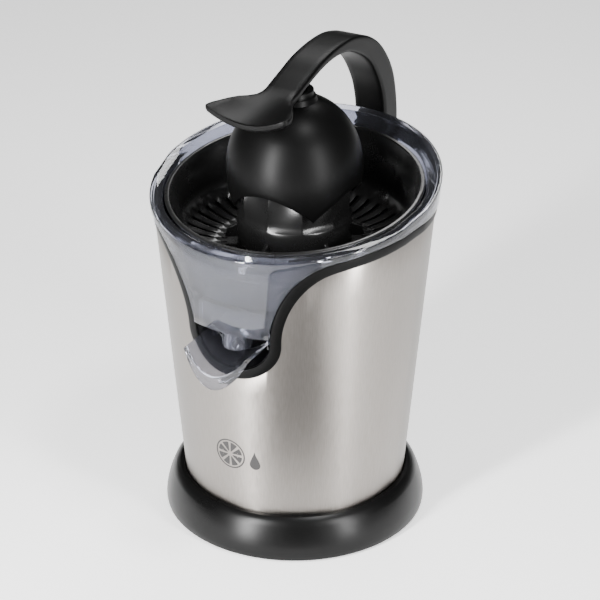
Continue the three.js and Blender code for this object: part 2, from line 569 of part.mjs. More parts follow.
// Egg-shaped dome with four arches round its lower edge and a neck that hangs on the lever's stud.
function pressDome() {
  const wide = DOME_TOP - DOME_CROWN;
  const egg = (r, top) => {
    const points = [];
    for (let i = 0; i <= EGG_STEPS; i++) {
      const angle = (i / EGG_STEPS) * (Math.PI / 2);
      points.push([r * Math.cos(angle) ** 0.92, wide + (top - wide) * Math.sin(angle)]);
    }
    points[points.length - 1][0] = 0;
    return points;
  };
  const low = wide - 25;
  const outer = turned(
    [[0, low], [DOME_R - 3.6, low], [DOME_R - 0.8, wide - 11], ...egg(DOME_R, DOME_TOP)], DOME_FACETS);
  const inside = DOME_R - DOME_WALL;
  const inner = turned(
    [[0, low - 1], [inside - 2.6, low - 1], [inside - 0.6, wide - 11], ...egg(inside, DOME_TOP - 4)],
      DOME_FACETS);
  const arches = [0, 1, 2, 3].map((k) => {
    const arch = new THREE.Shape();
    const top = low + ARCH_HEIGHT;
    arch.moveTo(-ARCH_HALF, low - 2);
    arch.bezierCurveTo(7 - ARCH_HALF, low + 4, 11 - ARCH_HALF, top, 0, top);
    arch.bezierCurveTo(ARCH_HALF - 11, top, ARCH_HALF - 7, low + 4, ARCH_HALF, low - 2);
    return slab(arch, "y", 6, CLEAR).rotate([0, 0, 90 * k]);
  });
  const neck = disc(NECK_R, DOME_TOP - 6, NECK_TOP, 24);
  const studRoom = rod("z", STUD_R + STUD_SLACK, 0, 0, DOME_TOP - 9, NECK_TOP + 5, 24);
  const pinHole = rod("x", FLOAT_PIN_R + GAP, 0, FLOAT_PIN_Z, -CLEAR, CLEAR);
  return cut(join(cut(outer, inner), cut(neck, inner)), studRoom, pinHole, ...arches);
}

const floatPin = () => rod("x", FLOAT_PIN_R, 0, FLOAT_PIN_Z, -NECK_R + 1, NECK_R - 1);

// ---- Lever ------------------------------------------------------------------------------------------
// Side outline of the arm: up from the hinge, over the crest and down to the front of the dome.
function armOutline() {
  const back = HINGE_Y + ARM_LEG / 2;
  const front = HINGE_Y - ARM_LEG / 2;
  const v = (y, z) => new THREE.Vector3(0, y, z);
  const outer = new THREE.CatmullRomCurve3([v(back, HINGE_Z), v(back + 0.8, HINGE_Z + 28), v(back - 6,
    HINGE_Z + 57),
    v(back - 21, ARM_CREST - 25.5), v(back - 40, ARM_CREST - 10.5), v(back - 64, ARM_CREST - 1.8),
    v(44, ARM_CREST), v(19.6, ARM_CREST - 2.3), v(0, ARM_CREST - 7.5), v(-24, ARM_CREST - 13.5)]);
  const inner = new THREE.CatmullRomCurve3([v(-24, ARM_CREST - 20), v(0, ARM_CREST - 13), v(20,
    ARM_CREST - 8.3),
    v(40, ARM_CREST - 7.1), v(60, ARM_CREST - 11), v(front - 25, ARM_CREST - 25.5), v(front - 9,
      HINGE_Z + 59),
    v(front - 2, HINGE_Z + 42), v(front, HINGE_Z + 26), v(front, HINGE_Z)]);
  const turn = [];
  for (let i = 1; i < 8; i++) {
    const angle = Math.PI + (i * Math.PI) / 8;
    turn.push([HINGE_Y + (ARM_LEG / 2) * Math.cos(angle), HINGE_Z + (ARM_LEG / 2) * Math.sin(angle)]);
  }
  return [...outer.getPoints(22).map((p) => [p.y, p.z]), ...inner.getPoints(22).map((p) => [p.y, p.z]),
    ...turn];
}

// Fish-tail thumb rest at the arm's front: it widens towards -Y and its wings curl up.
function billRings() {
  const rows = [[-18, 12, 12.9, 0], [-28, 14, 14.7, 1.2], [-40, 20.5, 16.3, 4.6], [-52, 26.5, 18.1, 6.6],
    [-61, 30, 18.9, 8], [-66, 29, 19.3, 8.6]];
  return rows.map(([y, half, drop, curl]) => {
    const upper = [];
    const lower = [];
    for (let i = 0; i <= 6; i++) {
      const across = i / 3 - 1;
      const z = ARM_CREST - drop + curl * across * across;
      upper.push(new THREE.Vector3(half * across, y, z));
      lower.unshift(new THREE.Vector3(half * across, y, z - BILL_THICK));
    }
    return [...upper, ...lower];
  });
}

function leverArm() {
  const arm = slab(armOutline(), "x", -ARM_WIDTH / 2, ARM_WIDTH / 2);
  const stud = rod("z", STUD_R, 0, 0, DOME_TOP - 7.5, ARM_CREST - 10.5, 24);
  const pinRoom = rod("x", FLOAT_PIN_R + GAP, 0, FLOAT_PIN_Z, -CLEAR, CLEAR);
  const bore = rod("x", HINGE_PIN_R + GAP, HINGE_Y, HINGE_Z, -CLEAR, CLEAR);
  return cut(join(arm, loft(billRings()), stud), pinRoom, bore);
}

// Bracket behind the sleeve: two ears beside the arm, a web under it and a neck that passes the
// sleeve's rear notch and is screwed on from inside the housing.
function hingeBracket() {
  const low = HINGE_Z - BRACKET_DROP;
  const front = sleeveR(HINGE_Z) - 3;
  const side = [[front, low], [HINGE_Y - 14, low + 3], [HINGE_Y + 5, low + 24], [HINGE_Y + EAR_R,
    HINGE_Z - 14],
    [HINGE_Y + EAR_R, HINGE_Z]];
  for (let i = 1; i < 6; i++) {
    const angle = (i * Math.PI) / 6;
    side.push([HINGE_Y + EAR_R * Math.cos(angle), HINGE_Z + EAR_R * Math.sin(angle)]);
  }
  side.push([HINGE_Y - EAR_R, HINGE_Z], [front + 4, HINGE_Z - 6], [front, HINGE_Z - 14]);
  const block = slab(side, "x", -BRACKET_HALF, BRACKET_HALF);
  const neck = box(-BRACKET_HALF, BRACKET_HALF, 70, front + 6, low, low + 36);
  const housing = turned(
    [[0, low - 5], [innerR(low - 5) + GAP, low - 5], [innerR(low + 60) + GAP, low + 60], [0, low + 60]]);
  const armRoom = box(-ARM_WIDTH / 2 - GAP, ARM_WIDTH / 2 + GAP, 80, CLEAR, HINGE_Z - ARM_LEG / 2 - 3,
    HINGE_Z + 40);
  const bore = rod("x", HINGE_PIN_R + GAP, HINGE_Y, HINGE_Z, -CLEAR, CLEAR);
  const holes = bracketScrewPlaces().map(([x, z]) => rod("y", SCREW_R + GAP, x, z, 60,
    BRACKET_SCREW_END + GAP));
  return cut(join(block, neck), housing, armRoom, bore, ...holes);
}

const bracketScrewPlaces = () => [-BRACKET_SCREW_X, BRACKET_SCREW_X].map((x) => [x,
  HINGE_Z - BRACKET_SCREW_DROP]);

function bracketScrew(x, z) {
  const wall = innerR(z) - HOUSING_WALL;
  return join(rod("y", SCREW_HEAD_R, x, z, wall - 4, wall - 1.8), rod("y", SCREW_R, x, z, wall - 2,
    BRACKET_SCREW_END));
}

const hingePin = () => rod("x", HINGE_PIN_R, HINGE_Y, HINGE_Z, -BRACKET_HALF - 1, BRACKET_HALF + 1);

// ---- Drive --------------------------------------------------------------------------------------------
// Involute outline of a gear; a tooth stands on the direction `phase`.
function gearOutline(teeth, phase) {
  const pitch = (MODULE * teeth) / 2;
  const base = pitch * Math.cos(PRESSURE_ANGLE);
  const roll = (r) => Math.sqrt(Math.max(0, (r / base) ** 2 - 1));
  const involute = (r) => roll(r) - Math.atan(roll(r));
  const halfTooth = (Math.PI * MODULE / 2 - TOOTH_BACKLASH) / (2 * pitch) + involute(pitch);
  const root = pitch - DEDENDUM;
  const flank = [root, pitch, pitch + ADDENDUM];
  const points = [];
  for (let k = 0; k < teeth; k++) {
    const middle = phase + (2 * Math.PI * k) / teeth;
    const side = flank.map((r) => [r, halfTooth - involute(Math.max(r, base))]);
    for (const [r, half] of side) points.push([r * Math.cos(middle - half), r * Math.sin(middle - half)]);
    for (const [r, half] of side.reverse()) points.push([r * Math.cos(middle + half),
      r * Math.sin(middle + half)]);
  }
  return points;
}

const gear = (teeth, phase, z0, z1) => slab(gearOutline(teeth, phase), "z", z0, z1);
const towardsIdler = Math.PI / 2;

// First wheel and second pinion, moulded in one.
function idlerGear() {
  const wheel = gear(WHEEL_TEETH, -towardsIdler + Math.PI / WHEEL_TEETH, STAGE_1_Z, STAGE_1_Z + WHEEL_THICK);
  const pinion = gear(PINION_TEETH, -towardsIdler, STAGE_1_Z + WHEEL_THICK - 1, UPPER_PLATE_Z - 3);
  const bore = rod("z", IDLER_AXLE_R + GAP, 0, 0, 0, 300);
  return at(cut(join(wheel, pinion), bore), 0, CENTRE_DISTANCE, 0);
}

const idlerAxle = () => rod("z", IDLER_AXLE_R, 0, CENTRE_DISTANCE, LOWER_PLATE_Z + GAP,
  UPPER_PLATE_Z + PLATE_THICK + 1);

function outputGear() {
  const wheel = gear(WHEEL_TEETH, towardsIdler + Math.PI / WHEEL_TEETH, STAGE_2_Z, STAGE_2_Z + WHEEL_THICK);
  const hub = disc(9, STAGE_2_Z + WHEEL_THICK - 1, UPPER_PLATE_Z + PLATE_THICK - 0.5, SMALL_ROUND);
  return cut(join(wheel, hub), hexagon(HEX_R + GAP, 0, 300));
}

// Spindle: hexagons at both ends, round through the seal, with the collar that works the switch.
function spindleShaft() {
  const lower = hexagon(HEX_R, STAGE_2_Z + 0.2, SPINDLE_COLLAR_Z + 1);
  const round = disc(SHAFT_R, SPINDLE_COLLAR_Z, REAMER_LOW + 1, SMALL_ROUND);
  const upper = hexagon(SOCKET_R, REAMER_LOW, SPINDLE_TOP);
  return join(lower, round, upper, disc(SPINDLE_COLLAR_R, SPINDLE_COLLAR_Z, SPINDLE_COLLAR_Z + 2.5,
    SMALL_ROUND));
}

// Round-wire compression spring between the upper plate's pocket and the spindle's collar.
function pressSpring() {
  const low = UPPER_PLATE_Z + PLATE_THICK + SPRING_WIRE + 0.4;
  const high = SPINDLE_COLLAR_Z - SPRING_WIRE - GAP;
  class Helix extends THREE.Curve {
    getPoint(t, target = new THREE.Vector3()) {
      const angle = 2 * Math.PI * SPRING_TURNS * t;
      return target.set(SPRING_R * Math.cos(angle), SPRING_R * Math.sin(angle), low + (high - low) * t);
    }
  }
  const wire = new THREE.Shape();
  wire.absarc(0, 0, SPRING_WIRE, 0, 2 * Math.PI);
  const steps = Math.round(12 * SPRING_TURNS);
  return solid(new THREE.ExtrudeGeometry(wire, { steps, curveSegments: 3, extrudePath: new Helix() }));
}

// Gearbox plates, held together and to the motor by four long screws.
function gearPlate(z, middle, ...more) {
  const plate = ring(middle, PLATE_R, z, z + PLATE_THICK, 24);
  const holes = quarterTurns(POST_RING_R, Math.PI / 4).map(([x, y]) => rod("z", SCREW_R + GAP, x, y,
    z - 5, z + 9));
  return cut(plate, ...holes, ...more);
}

function lowerPlate() {
  const axleHole = rod("z", IDLER_AXLE_R + GAP, 0, CENTRE_DISTANCE, LOWER_PLATE_Z - 5, LOWER_PLATE_Z + 9);
  return gearPlate(LOWER_PLATE_Z, ROTOR_SHAFT_R + 2.2, axleHole);
}

function upperPlate() {
  const axleHole = rod("z", IDLER_AXLE_R + GAP, 0, CENTRE_DISTANCE, UPPER_PLATE_Z - 5, UPPER_PLATE_Z + 9);
  const pocket = disc(SPRING_R + SPRING_WIRE + 1, UPPER_PLATE_Z + PLATE_THICK - 3.1, UPPER_PLATE_Z + 9,
    SMALL_ROUND);
  return gearPlate(UPPER_PLATE_Z, BUSH_R, axleHole, pocket);
}

const spindleBush = () =>
  ring(BUSH_BORE, BUSH_R - GAP, UPPER_PLATE_Z - 1, UPPER_PLATE_Z + PLATE_THICK - 3.4, SMALL_ROUND);

function gearPost(x, y) {
  return ringAt(x, y, SCREW_R + GAP, POST_R, LOWER_PLATE_Z + PLATE_THICK + GAP, UPPER_PLATE_Z - GAP);
}

const ringAt = (x, y, r0, r1, z0, z1) => cut(rod("z", r1, x, y, z0, z1), rod("z", r0, x, y, z0 - 5, z1 + 5));

function longScrew(x, y) {
  const top = UPPER_PLATE_Z + PLATE_THICK + GAP;
  return join(rod("z", SCREW_HEAD_R, x, y, top, top + 2.2), rod("z", SCREW_R, x, y, LOWER_PLATE_Z - 8,
    top + 1));
}

// Motor: square lamination stack on four legs of the end brackets, two coils, rotor, shaft and fan.
function motorStator() {
  const half = STATOR_SIZE / 2;
  const body = box(-half, half, -half, half, STATOR_Z, STATOR_Z + STATOR_STACK);
  const bore = disc(ROTOR_R + POLE_GAP, 0, 200, 24);
  const windows = [-1, 1].map((side) =>
    box(...[side * WINDOW_IN, side * WINDOW_OUT].sort((a, b) => a - b), -COIL_HALF - 4, COIL_HALF + 4,
      0, 200));
  return cut(body, bore, ...windows);
}

// A coil wound round one leg of the stack: it goes through a window and back outside the other side.
function motorCoil(side) {
  const [x0, x1] = [side * 21, side * (STATOR_SIZE / 2 + 7)].sort((a, b) => a - b);
  const outer = box(x0, x1, -COIL_HALF, COIL_HALF, STATOR_Z - 7, STATOR_Z + STATOR_STACK + 7);
  const [c0, c1] = [side * (WINDOW_OUT - GAP), side * (STATOR_SIZE / 2 + GAP)].sort((a, b) => a - b);
  return cut(outer, box(c0, c1, -30, 30, STATOR_Z - GAP, STATOR_Z + STATOR_STACK + GAP));
}

// End bracket: a bridge over the rotor along Y, with the bearing boss in its middle.
function motorBracket(z, boss) {
  const bridge = box(-11, 11, -STATOR_SIZE / 2, STATOR_SIZE / 2, z, z + 3);
  const hub = disc(10, Math.min(z, z + boss), Math.max(z + 3, z + 3 + boss), SMALL_ROUND);
  const towards = z > STATOR_Z ? [STATOR_Z + STATOR_STACK + GAP, z + 1] : [z + 2, STATOR_Z - GAP];
  const legs = [-1, 1].map((side) =>
    box(-11, 11, ...[side * 31, (side * STATOR_SIZE) / 2].sort((a, b) => a - b), ...towards));
  const bearing = rod("z", BEARING_R + GAP, 0, 0, z - 20, z + 20);
  return cut(join(bridge, hub, ...legs), bearing);
}

const rotorBearing = (z) => ring(ROTOR_SHAFT_R + GAP, BEARING_R, z - 1, z + 4, SMALL_ROUND);
const rotorCore = () => ring(ROTOR_SHAFT_R + GAP, ROTOR_R, STATOR_Z - 3, STATOR_Z + STATOR_STACK + 3, 24);
const rotorShaft = () => disc(ROTOR_SHAFT_R, FAN_Z - 2, STAGE_2_Z - 3, SMALL_ROUND);
const rotorPinion = () =>
  cut(gear(PINION_TEETH, towardsIdler, STAGE_1_Z - 1, STAGE_2_Z - 4), rod("z", ROTOR_SHAFT_R + GAP, 0,
    0, 0, 200));

function coolingFan() {
  const hub = disc(9, FAN_Z, FAN_Z + 8, SMALL_ROUND);
  const plate = disc(FAN_R, FAN_Z, FAN_Z + 1.5, 24);
  const blades = [];
  for (let k = 0; k < FAN_BLADES; k++) {
    blades.push(box(8, FAN_R - 1, -0.9, 0.9, FAN_Z + 1, FAN_Z + 8).rotate([0, 0, (360 / FAN_BLADES) * k]));
  }
  return cut(join(hub, plate, ...blades), rod("z", ROTOR_SHAFT_R + GAP, 0, 0, 0, 60));
}

// Ledge inside the housing that the gearbox hangs from, under its lower plate.
function chassisRing() {
  const wall = (z) => innerR(z) - HOUSING_WALL - GAP;
  const shelf = ring(PLATE_R - 12, wall(LOWER_PLATE_Z - 4) - 0.5, LOWER_PLATE_Z - 4, LOWER_PLATE_Z - GAP);
  const holes = quarterTurns(POST_RING_R, Math.PI / 4).map(([x, y]) => rod("z", SCREW_R + GAP, x, y,
    60, 120));
  return cut(shelf, ...holes);
}

function switchBody() {
  const low = UPPER_PLATE_Z + PLATE_THICK + GAP;
  const body = box(SWITCH_X - 2.5, SWITCH_X + 17.5, SWITCH_Y - 7.5, SWITCH_Y + 2.5, low, low + 7);
  return cut(body, rod("z", PLUNGER_R + GAP, SWITCH_X, SWITCH_Y, low + 0.8, low + 20));
}

const switchPlunger = () =>
  rod("z", PLUNGER_R, SWITCH_X, SWITCH_Y, UPPER_PLATE_Z + PLATE_THICK + GAP + 3.8, SPINDLE_COLLAR_Z - 0.4);

// ---- Assembly -----------------------------------------------------------------------------------------
const finish = {
  blackPlastic: { color: 0x1b1b1d, roughness: 0.42 },
  satinBlack: { color: 0x242425, roughness: 0.5 },
  clear: { color: 0xc9ccd6, roughness: 0.08, transparent: true, opacity: 0.45 },
  steel: { color: 0xb9b5af, roughness: 0.32, metalness: 1 },
  turnedSteel: { color: 0x9a9a9c, roughness: 0.28, metalness: 1 },
  laminations: { color: 0x6d6f72, roughness: 0.55, metalness: 0.9 },
  copper: { color: 0x9c4b22, roughness: 0.4, metalness: 0.9 },
  bronze: { color: 0x8f6a3a, roughness: 0.45, metalness: 0.9 },
  rubber: { color: 0x141414, roughness: 0.85 },
  gearPlastic: { color: 0xe6e2d6, roughness: 0.45 },
};

const group = new THREE.Group();

function add(name, body, material) {
  const { vertProperties, triVerts } = body.getMesh();
  const geometry = new THREE.BufferGeometry();
  geometry.setAttribute("position", new THREE.BufferAttribute(vertProperties, 3));
  geometry.setIndex(new THREE.BufferAttribute(triVerts, 1));
  const mesh = new THREE.Mesh(geometry, new THREE.MeshStandardMaterial(finish[material]));
  mesh.name = name;
  group.add(mesh);
}

add("base_foot", baseFoot(), "blackPlastic");
add("bottom_cover", bottomCover(), "blackPlastic");
add("cord_gland", cordGland(), "rubber");
quarterTurns(PAD_RING_R, Math.PI / 4).forEach(([x, y], i) => add(`rubber_foot_${i + 1}`, rubberFoot(x,
  y), "rubber"));
quarterTurns(SCREW_RING_R, 0).forEach(([x, y], i) => add(`cover_screw_${i + 1}`, coverScrew(x, y),
  "turnedSteel"));
add("steel_sleeve", steelSleeve(), "steel");
add("trim_band", trimBand(), "satinBlack");
add("inner_housing", innerHousing(), "blackPlastic");
add("shaft_seal", shaftSeal(), "rubber");

add("juice_collector", juiceCollector(), "clear");
add("strainer_basket", strainerBasket(), "blackPlastic");
add("drip_chute", chute(), "clear");
add("chute_pin", chutePin(), "turnedSteel");

add("reamer_cone", reamer(), "blackPlastic");
add("press_dome", pressDome(), "satinBlack");
add("dome_pin", floatPin(), "turnedSteel");
add("lever_arm", leverArm(), "satinBlack");
add("hinge_bracket", hingeBracket(), "satinBlack");
add("hinge_pin", hingePin(), "turnedSteel");
bracketScrewPlaces().forEach(([x, z], i) => add(`bracket_screw_${i + 1}`, bracketScrew(x, z), "turnedSteel"));

add("spindle_shaft", spindleShaft(), "turnedSteel");
add("press_spring", pressSpring(), "turnedSteel");
add("output_gear", outputGear(), "gearPlastic");
add("idler_gear", idlerGear(), "gearPlastic");
add("idler_axle", idlerAxle(), "turnedSteel");
add("gear_plate_upper", upperPlate(), "blackPlastic");
add("gear_plate_lower", lowerPlate(), "blackPlastic");
add("spindle_bush", spindleBush(), "bronze");
quarterTurns(POST_RING_R, Math.PI / 4).forEach(([x, y], i) => {
  add(`gear_post_${i + 1}`, gearPost(x, y), "turnedSteel");
  add(`plate_screw_${i + 1}`, longScrew(x, y), "turnedSteel");
});
add("chassis_ring", chassisRing(), "blackPlastic");
add("switch_body", switchBody(), "blackPlastic");
add("switch_plunger", switchPlunger(), "gearPlastic");

add("motor_stator", motorStator(), "laminations");
add("motor_coil_left", motorCoil(-1), "copper");
add("motor_coil_right", motorCoil(1), "copper");
add("motor_bracket_lower", motorBracket(BRACKET_LOW_Z, -3), "laminations");
add("motor_bracket_upper", motorBracket(BRACKET_HIGH_Z, 3), "laminations");
add("rotor_bearing_lower", rotorBearing(BRACKET_LOW_Z), "bronze");
add("rotor_bearing_upper", rotorBearing(BRACKET_HIGH_Z), "bronze");
add("rotor_core", rotorCore(), "laminations");
add("rotor_shaft", rotorShaft(), "turnedSteel");
add("rotor_pinion", rotorPinion(), "turnedSteel");
add("cooling_fan", coolingFan(), "gearPlastic");

export default group;
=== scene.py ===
"""Looks of a lever citrus press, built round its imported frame: millimetres are turned to metres by MM."""
import json
import math

import bpy
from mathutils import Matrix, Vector


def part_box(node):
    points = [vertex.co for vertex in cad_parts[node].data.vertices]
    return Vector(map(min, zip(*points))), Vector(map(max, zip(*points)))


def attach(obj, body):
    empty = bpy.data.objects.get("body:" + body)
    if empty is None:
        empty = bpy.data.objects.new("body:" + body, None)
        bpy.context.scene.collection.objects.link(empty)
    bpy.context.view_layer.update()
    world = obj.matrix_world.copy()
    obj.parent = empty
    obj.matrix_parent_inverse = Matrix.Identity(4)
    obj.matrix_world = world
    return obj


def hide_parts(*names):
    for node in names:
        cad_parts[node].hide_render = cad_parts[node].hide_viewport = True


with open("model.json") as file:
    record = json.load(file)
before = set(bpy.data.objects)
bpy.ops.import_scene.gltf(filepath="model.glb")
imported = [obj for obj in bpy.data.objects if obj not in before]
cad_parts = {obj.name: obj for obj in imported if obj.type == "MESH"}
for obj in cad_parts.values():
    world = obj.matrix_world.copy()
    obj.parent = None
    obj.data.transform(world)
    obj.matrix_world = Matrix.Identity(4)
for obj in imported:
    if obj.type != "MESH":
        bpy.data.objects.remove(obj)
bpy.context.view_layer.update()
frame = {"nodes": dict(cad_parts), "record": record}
MM = 0.001


def span(part):
    """Lowest and highest corner of a CAD node, in millimetres."""
    low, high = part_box(part)
    return low / MM, high / MM


# ---- Sizes taken from the frame ----------------------------------------------------------------
SLEEVE_LOW, SLEEVE_HIGH = span("steel_sleeve")
FOOT_LOW, FOOT_HIGH = span("base_foot")
BASKET_HIGH = span("strainer_basket")[1]
REAMER_LOW, REAMER_HIGH = span("reamer_cone")
DOME_HIGH = span("press_dome")[1]
CHUTE_HIGH = span("drip_chute")[1]
CHUTE_PIN_LOW, CHUTE_PIN_HIGH = span("chute_pin")
HINGE_LOW, HINGE_HIGH = span("hinge_pin")

SLEEVE_TOP = SLEEVE_HIGH.z
SLEEVE_FLARE = 0.08615  # gain in radius for each unit of height
SLEEVE_WALL = 0.8
CUT_BOTTOM = SLEEVE_TOP - 90
CUT_HALF = 33.3
CUT_FLARE_X = 57.3  # where the cut-out's side turns over towards the rim
TRIM_WIDTH = 6.2
RIM_Z = SLEEVE_TOP + 16.2
RIM_TILT = math.radians(8.14)  # the collector's rim falls towards the spout
CLEAR_PROUD = 2  # the collector's wall stands this far out from the steel
HOUSING_WALL = 2.4
GAP = 0.3
BIB_Z = SLEEVE_TOP - 57  # lower edge of the clear front
DECK_Z = SLEEVE_TOP - 41  # the housing's motor deck, under the collector's bowl
FLOOR_Z = RIM_Z - 44.5  # the strainer's floor
ARM_CREST = RIM_Z + 83.3
DOME_CROWN = RIM_Z + 60.3
HINGE_Y = (HINGE_LOW.y + HINGE_HIGH.y) / 2
HINGE_Z = (HINGE_LOW.z + HINGE_HIGH.z) / 2
NOTCH_HALF = 17.2  # the notch in the sleeve that the hinge bracket passes
NOTCH_Z = HINGE_Z - 50.3
ROUND = 192  # facets of a large round piece


def sleeve_r(z):
    """Outside radius of the steel sleeve at a height."""
    return SLEEVE_HIGH.x - SLEEVE_FLARE * (SLEEVE_TOP - z)


# ---- Curves and meshes ---------------------------------------------------------------------------
def bezier(a, b, c, d, steps):
    """Points on a cubic from a to d, both ends included."""
    points = []
    for i in range(steps + 1):
        t = i / steps
        weights = ((1 - t) ** 3, 3 * t * (1 - t) ** 2, 3 * t * t * (1 - t), t ** 3)
        points.append(tuple(sum(w * p[k] for w, p in zip(weights, (a, b, c, d))) for k in (0, 1)))
    return points


def arc(x, y, rx, ry, start, end, steps):
    """Points on an ellipse's arc, with its angles in degrees."""
    angles = [math.radians(start + (end - start) * i / steps) for i in range(steps + 1)]
    return [(x + rx * math.cos(a), y + ry * math.sin(a)) for a in angles]


def eased(points, radius, steps=3, closed=True):
    """The outline with each corner turned into a small curve, no wider than its sides allow."""
    made = []
    count = len(points)
    for i, here in enumerate(points):
        if not closed and i in (0, count - 1):
            made.append(tuple(here))
            continue
        here = Vector(here)
        before = Vector(points[i - 1]) - here
        after = Vector(points[(i + 1) % count]) - here
        reach = min(radius, 0.45 * before.length, 0.45 * after.length)
        start = here + before.normalized() * reach
        end = here + after.normalized() * reach
        for k in range(steps + 1):
            t = k / steps
            made.append(tuple((1 - t) ** 2 * start + 2 * t * (1 - t) * here + t * t * end))
    return made


def smooth_path(points, steps):
    """A soft curve through points, with the same number of steps between each two."""
    before = 2 * Vector(points[0]) - Vector(points[1])
    after = 2 * Vector(points[-1]) - Vector(points[-2])
    ends = [before, *map(Vector, points), after]
    made = []
    for i in range(1, len(ends) - 2):
        a, b, c, d = ends[i - 1:i + 3]
        for k in range(steps):
            t = k / steps
            made.append(0.5 * (2 * b + (c - a) * t + (2 * a - 5 * b + 4 * c - d) * t * t
                               + (3 * b - a - 3 * c + d) * t ** 3))
    made.append(Vector(points[-1]))
    return made


def piece_from(name, points, faces, sharp=35):
    """A new object at the origin from points in millimetres."""
    mesh = bpy.data.meshes.new(name)
    mesh.from_pydata([Vector(p) * MM for p in points], [], faces)
    mesh.validate()
    mesh.shade_smooth()
    mesh.set_sharp_from_angle(angle=math.radians(sharp))
    made = bpy.data.objects.new(name, mesh)
    bpy.context.scene.collection.objects.link(made)
    return made


def skin(name, rows, ring_rows=True, ring_columns=True, sharp=35, capped=False):
    """A surface through rows of points; a row, and the whole set of rows, may close on itself."""
    count = len(rows[0])
    points = [p for row in rows for p in row]
    faces = []
    for i in range(len(rows) if ring_rows else len(rows) - 1):
        j = (i + 1) % len(rows)
        for k in range(count if ring_columns else count - 1):
            n = (k + 1) % count
            faces.append((i * count + k, i * count + n, j * count + n, j * count + k))
    if capped:
        faces.append(tuple(range(count))[::-1])
        faces.append(tuple((len(rows) - 1) * count + k for k in range(count)))
    made = piece_from(name, points, faces, sharp)
    return outward(made)


def outward(made):
    """Turns every face of a closed surface to the outside, with its doubled points merged first."""
    bpy.ops.object.select_all(action="DESELECT")
    made.select_set(True)
    bpy.context.view_layer.objects.active = made
    bpy.ops.object.mode_set(mode="EDIT")
    bpy.ops.mesh.select_all(action="SELECT")
    bpy.ops.mesh.remove_doubles(threshold=0.000002)
    bpy.ops.mesh.dissolve_degenerate(threshold=0.000002)
    bpy.ops.mesh.normals_make_consistent(inside=False)
    bpy.ops.object.mode_set(mode="OBJECT")
    return made


def turned(name, profile, facets=ROUND, lean_from=None, sharp=35, centre=(0, 0)):
    """A closed profile of (radius, height) turned about Z; above lean_from it leans to the rim's slope."""
    rows = []
    for i in range(facets):
        angle = 2 * math.pi * i / facets
        row = []
        for r, z in profile:
            x, y = r * math.sin(angle), -r * math.cos(angle)
            if lean_from is not None:
                share = min(1.2, max(0, (z - lean_from) / (RIM_Z - lean_from)))
                z += math.tan(RIM_TILT) * y * share
            row.append((x + centre[0], y + centre[1], z))
        rows.append(row)
    return skin(name, rows, sharp=sharp)


def bar(name, axis, radius, middle, start, end, chamfer=0.4, facets=40):
    """A round pin along X, Y or Z with eased ends; middle is its place in the other two axes."""
    profile = [(0, start), (radius - chamfer, start), (radius, start + chamfer), (radius, end - chamfer),
               (radius - chamfer, end), (0, end)]
    rows = []
    for i in range(facets):
        angle = 2 * math.pi * i / facets
        row = []
        for r, along in profile:
            a, b = middle[0] + r * math.cos(angle), middle[1] + r * math.sin(angle)
            row.append({"x": (along, a, b), "y": (a, along, b), "z": (a, b, along)}[axis])
        rows.append(row)
    return skin(name, rows, ring_columns=False)


# ---- Materials -----------------------------------------------------------------------------------
def linear(code):
    """The linear colour of an sRGB hex value."""
    parts = [int(code[i:i + 2], 16) / 255 for i in (1, 3, 5)]
    return (*[c / 12.92 if c <= 0.04045 else ((c + 0.055) / 1.055) ** 2.4 for c in parts], 1)


def node(tree, kind, inputs=None, **settings):
    """Adds one node with its settings; an input is a value or the output that feeds it."""
    made = tree.nodes.new(kind)
    for key, value in settings.items():
        setattr(made, key, value)
    for socket, value in (inputs or {}).items():
        if isinstance(value, bpy.types.NodeSocket):
            tree.links.new(value, made.inputs[socket])
        else:
            made.inputs[socket].default_value = value
    return made


def finish(name, **constants):
    """A material with its shader's constants set, and its node tree to add a pattern to."""
    material = bpy.data.materials.new(name)
    material.use_nodes = True
    shader = material.node_tree.nodes["Principled BSDF"]
    for socket, value in constants.items():
        shader.inputs[socket.replace("_", " ")].default_value = value
    return material, material.node_tree, shader


def spread(tree, source, low, high, from_low=0.0, from_high=1.0):
    """Maps a pattern's range to another, such as a roughness."""
    return node(tree, "ShaderNodeMapRange", {"Value": source, "From Min": from_low, "From Max": from_high,
                                             "To Min": low, "To Max": high}).outputs["Result"]


def place(tree, scale=(1, 1, 1)):
    """The object's own coordinates in metres, stretched by scale."""
    where = node(tree, "ShaderNodeTexCoord")
    return node(tree, "ShaderNodeMapping", {"Vector": where.outputs["Object"],
                                            "Scale": scale}).outputs["Vector"]


def tint(tree, shader, pattern, dark, light):
    """Mixes the shader's base colour between two hex values by a pattern."""
    mixed = node(tree, "ShaderNodeMix", {0: pattern, 6: linear(dark), 7: linear(light)}, data_type="RGBA")
    tree.links.new(mixed.outputs[2], shader.inputs["Base Color"])


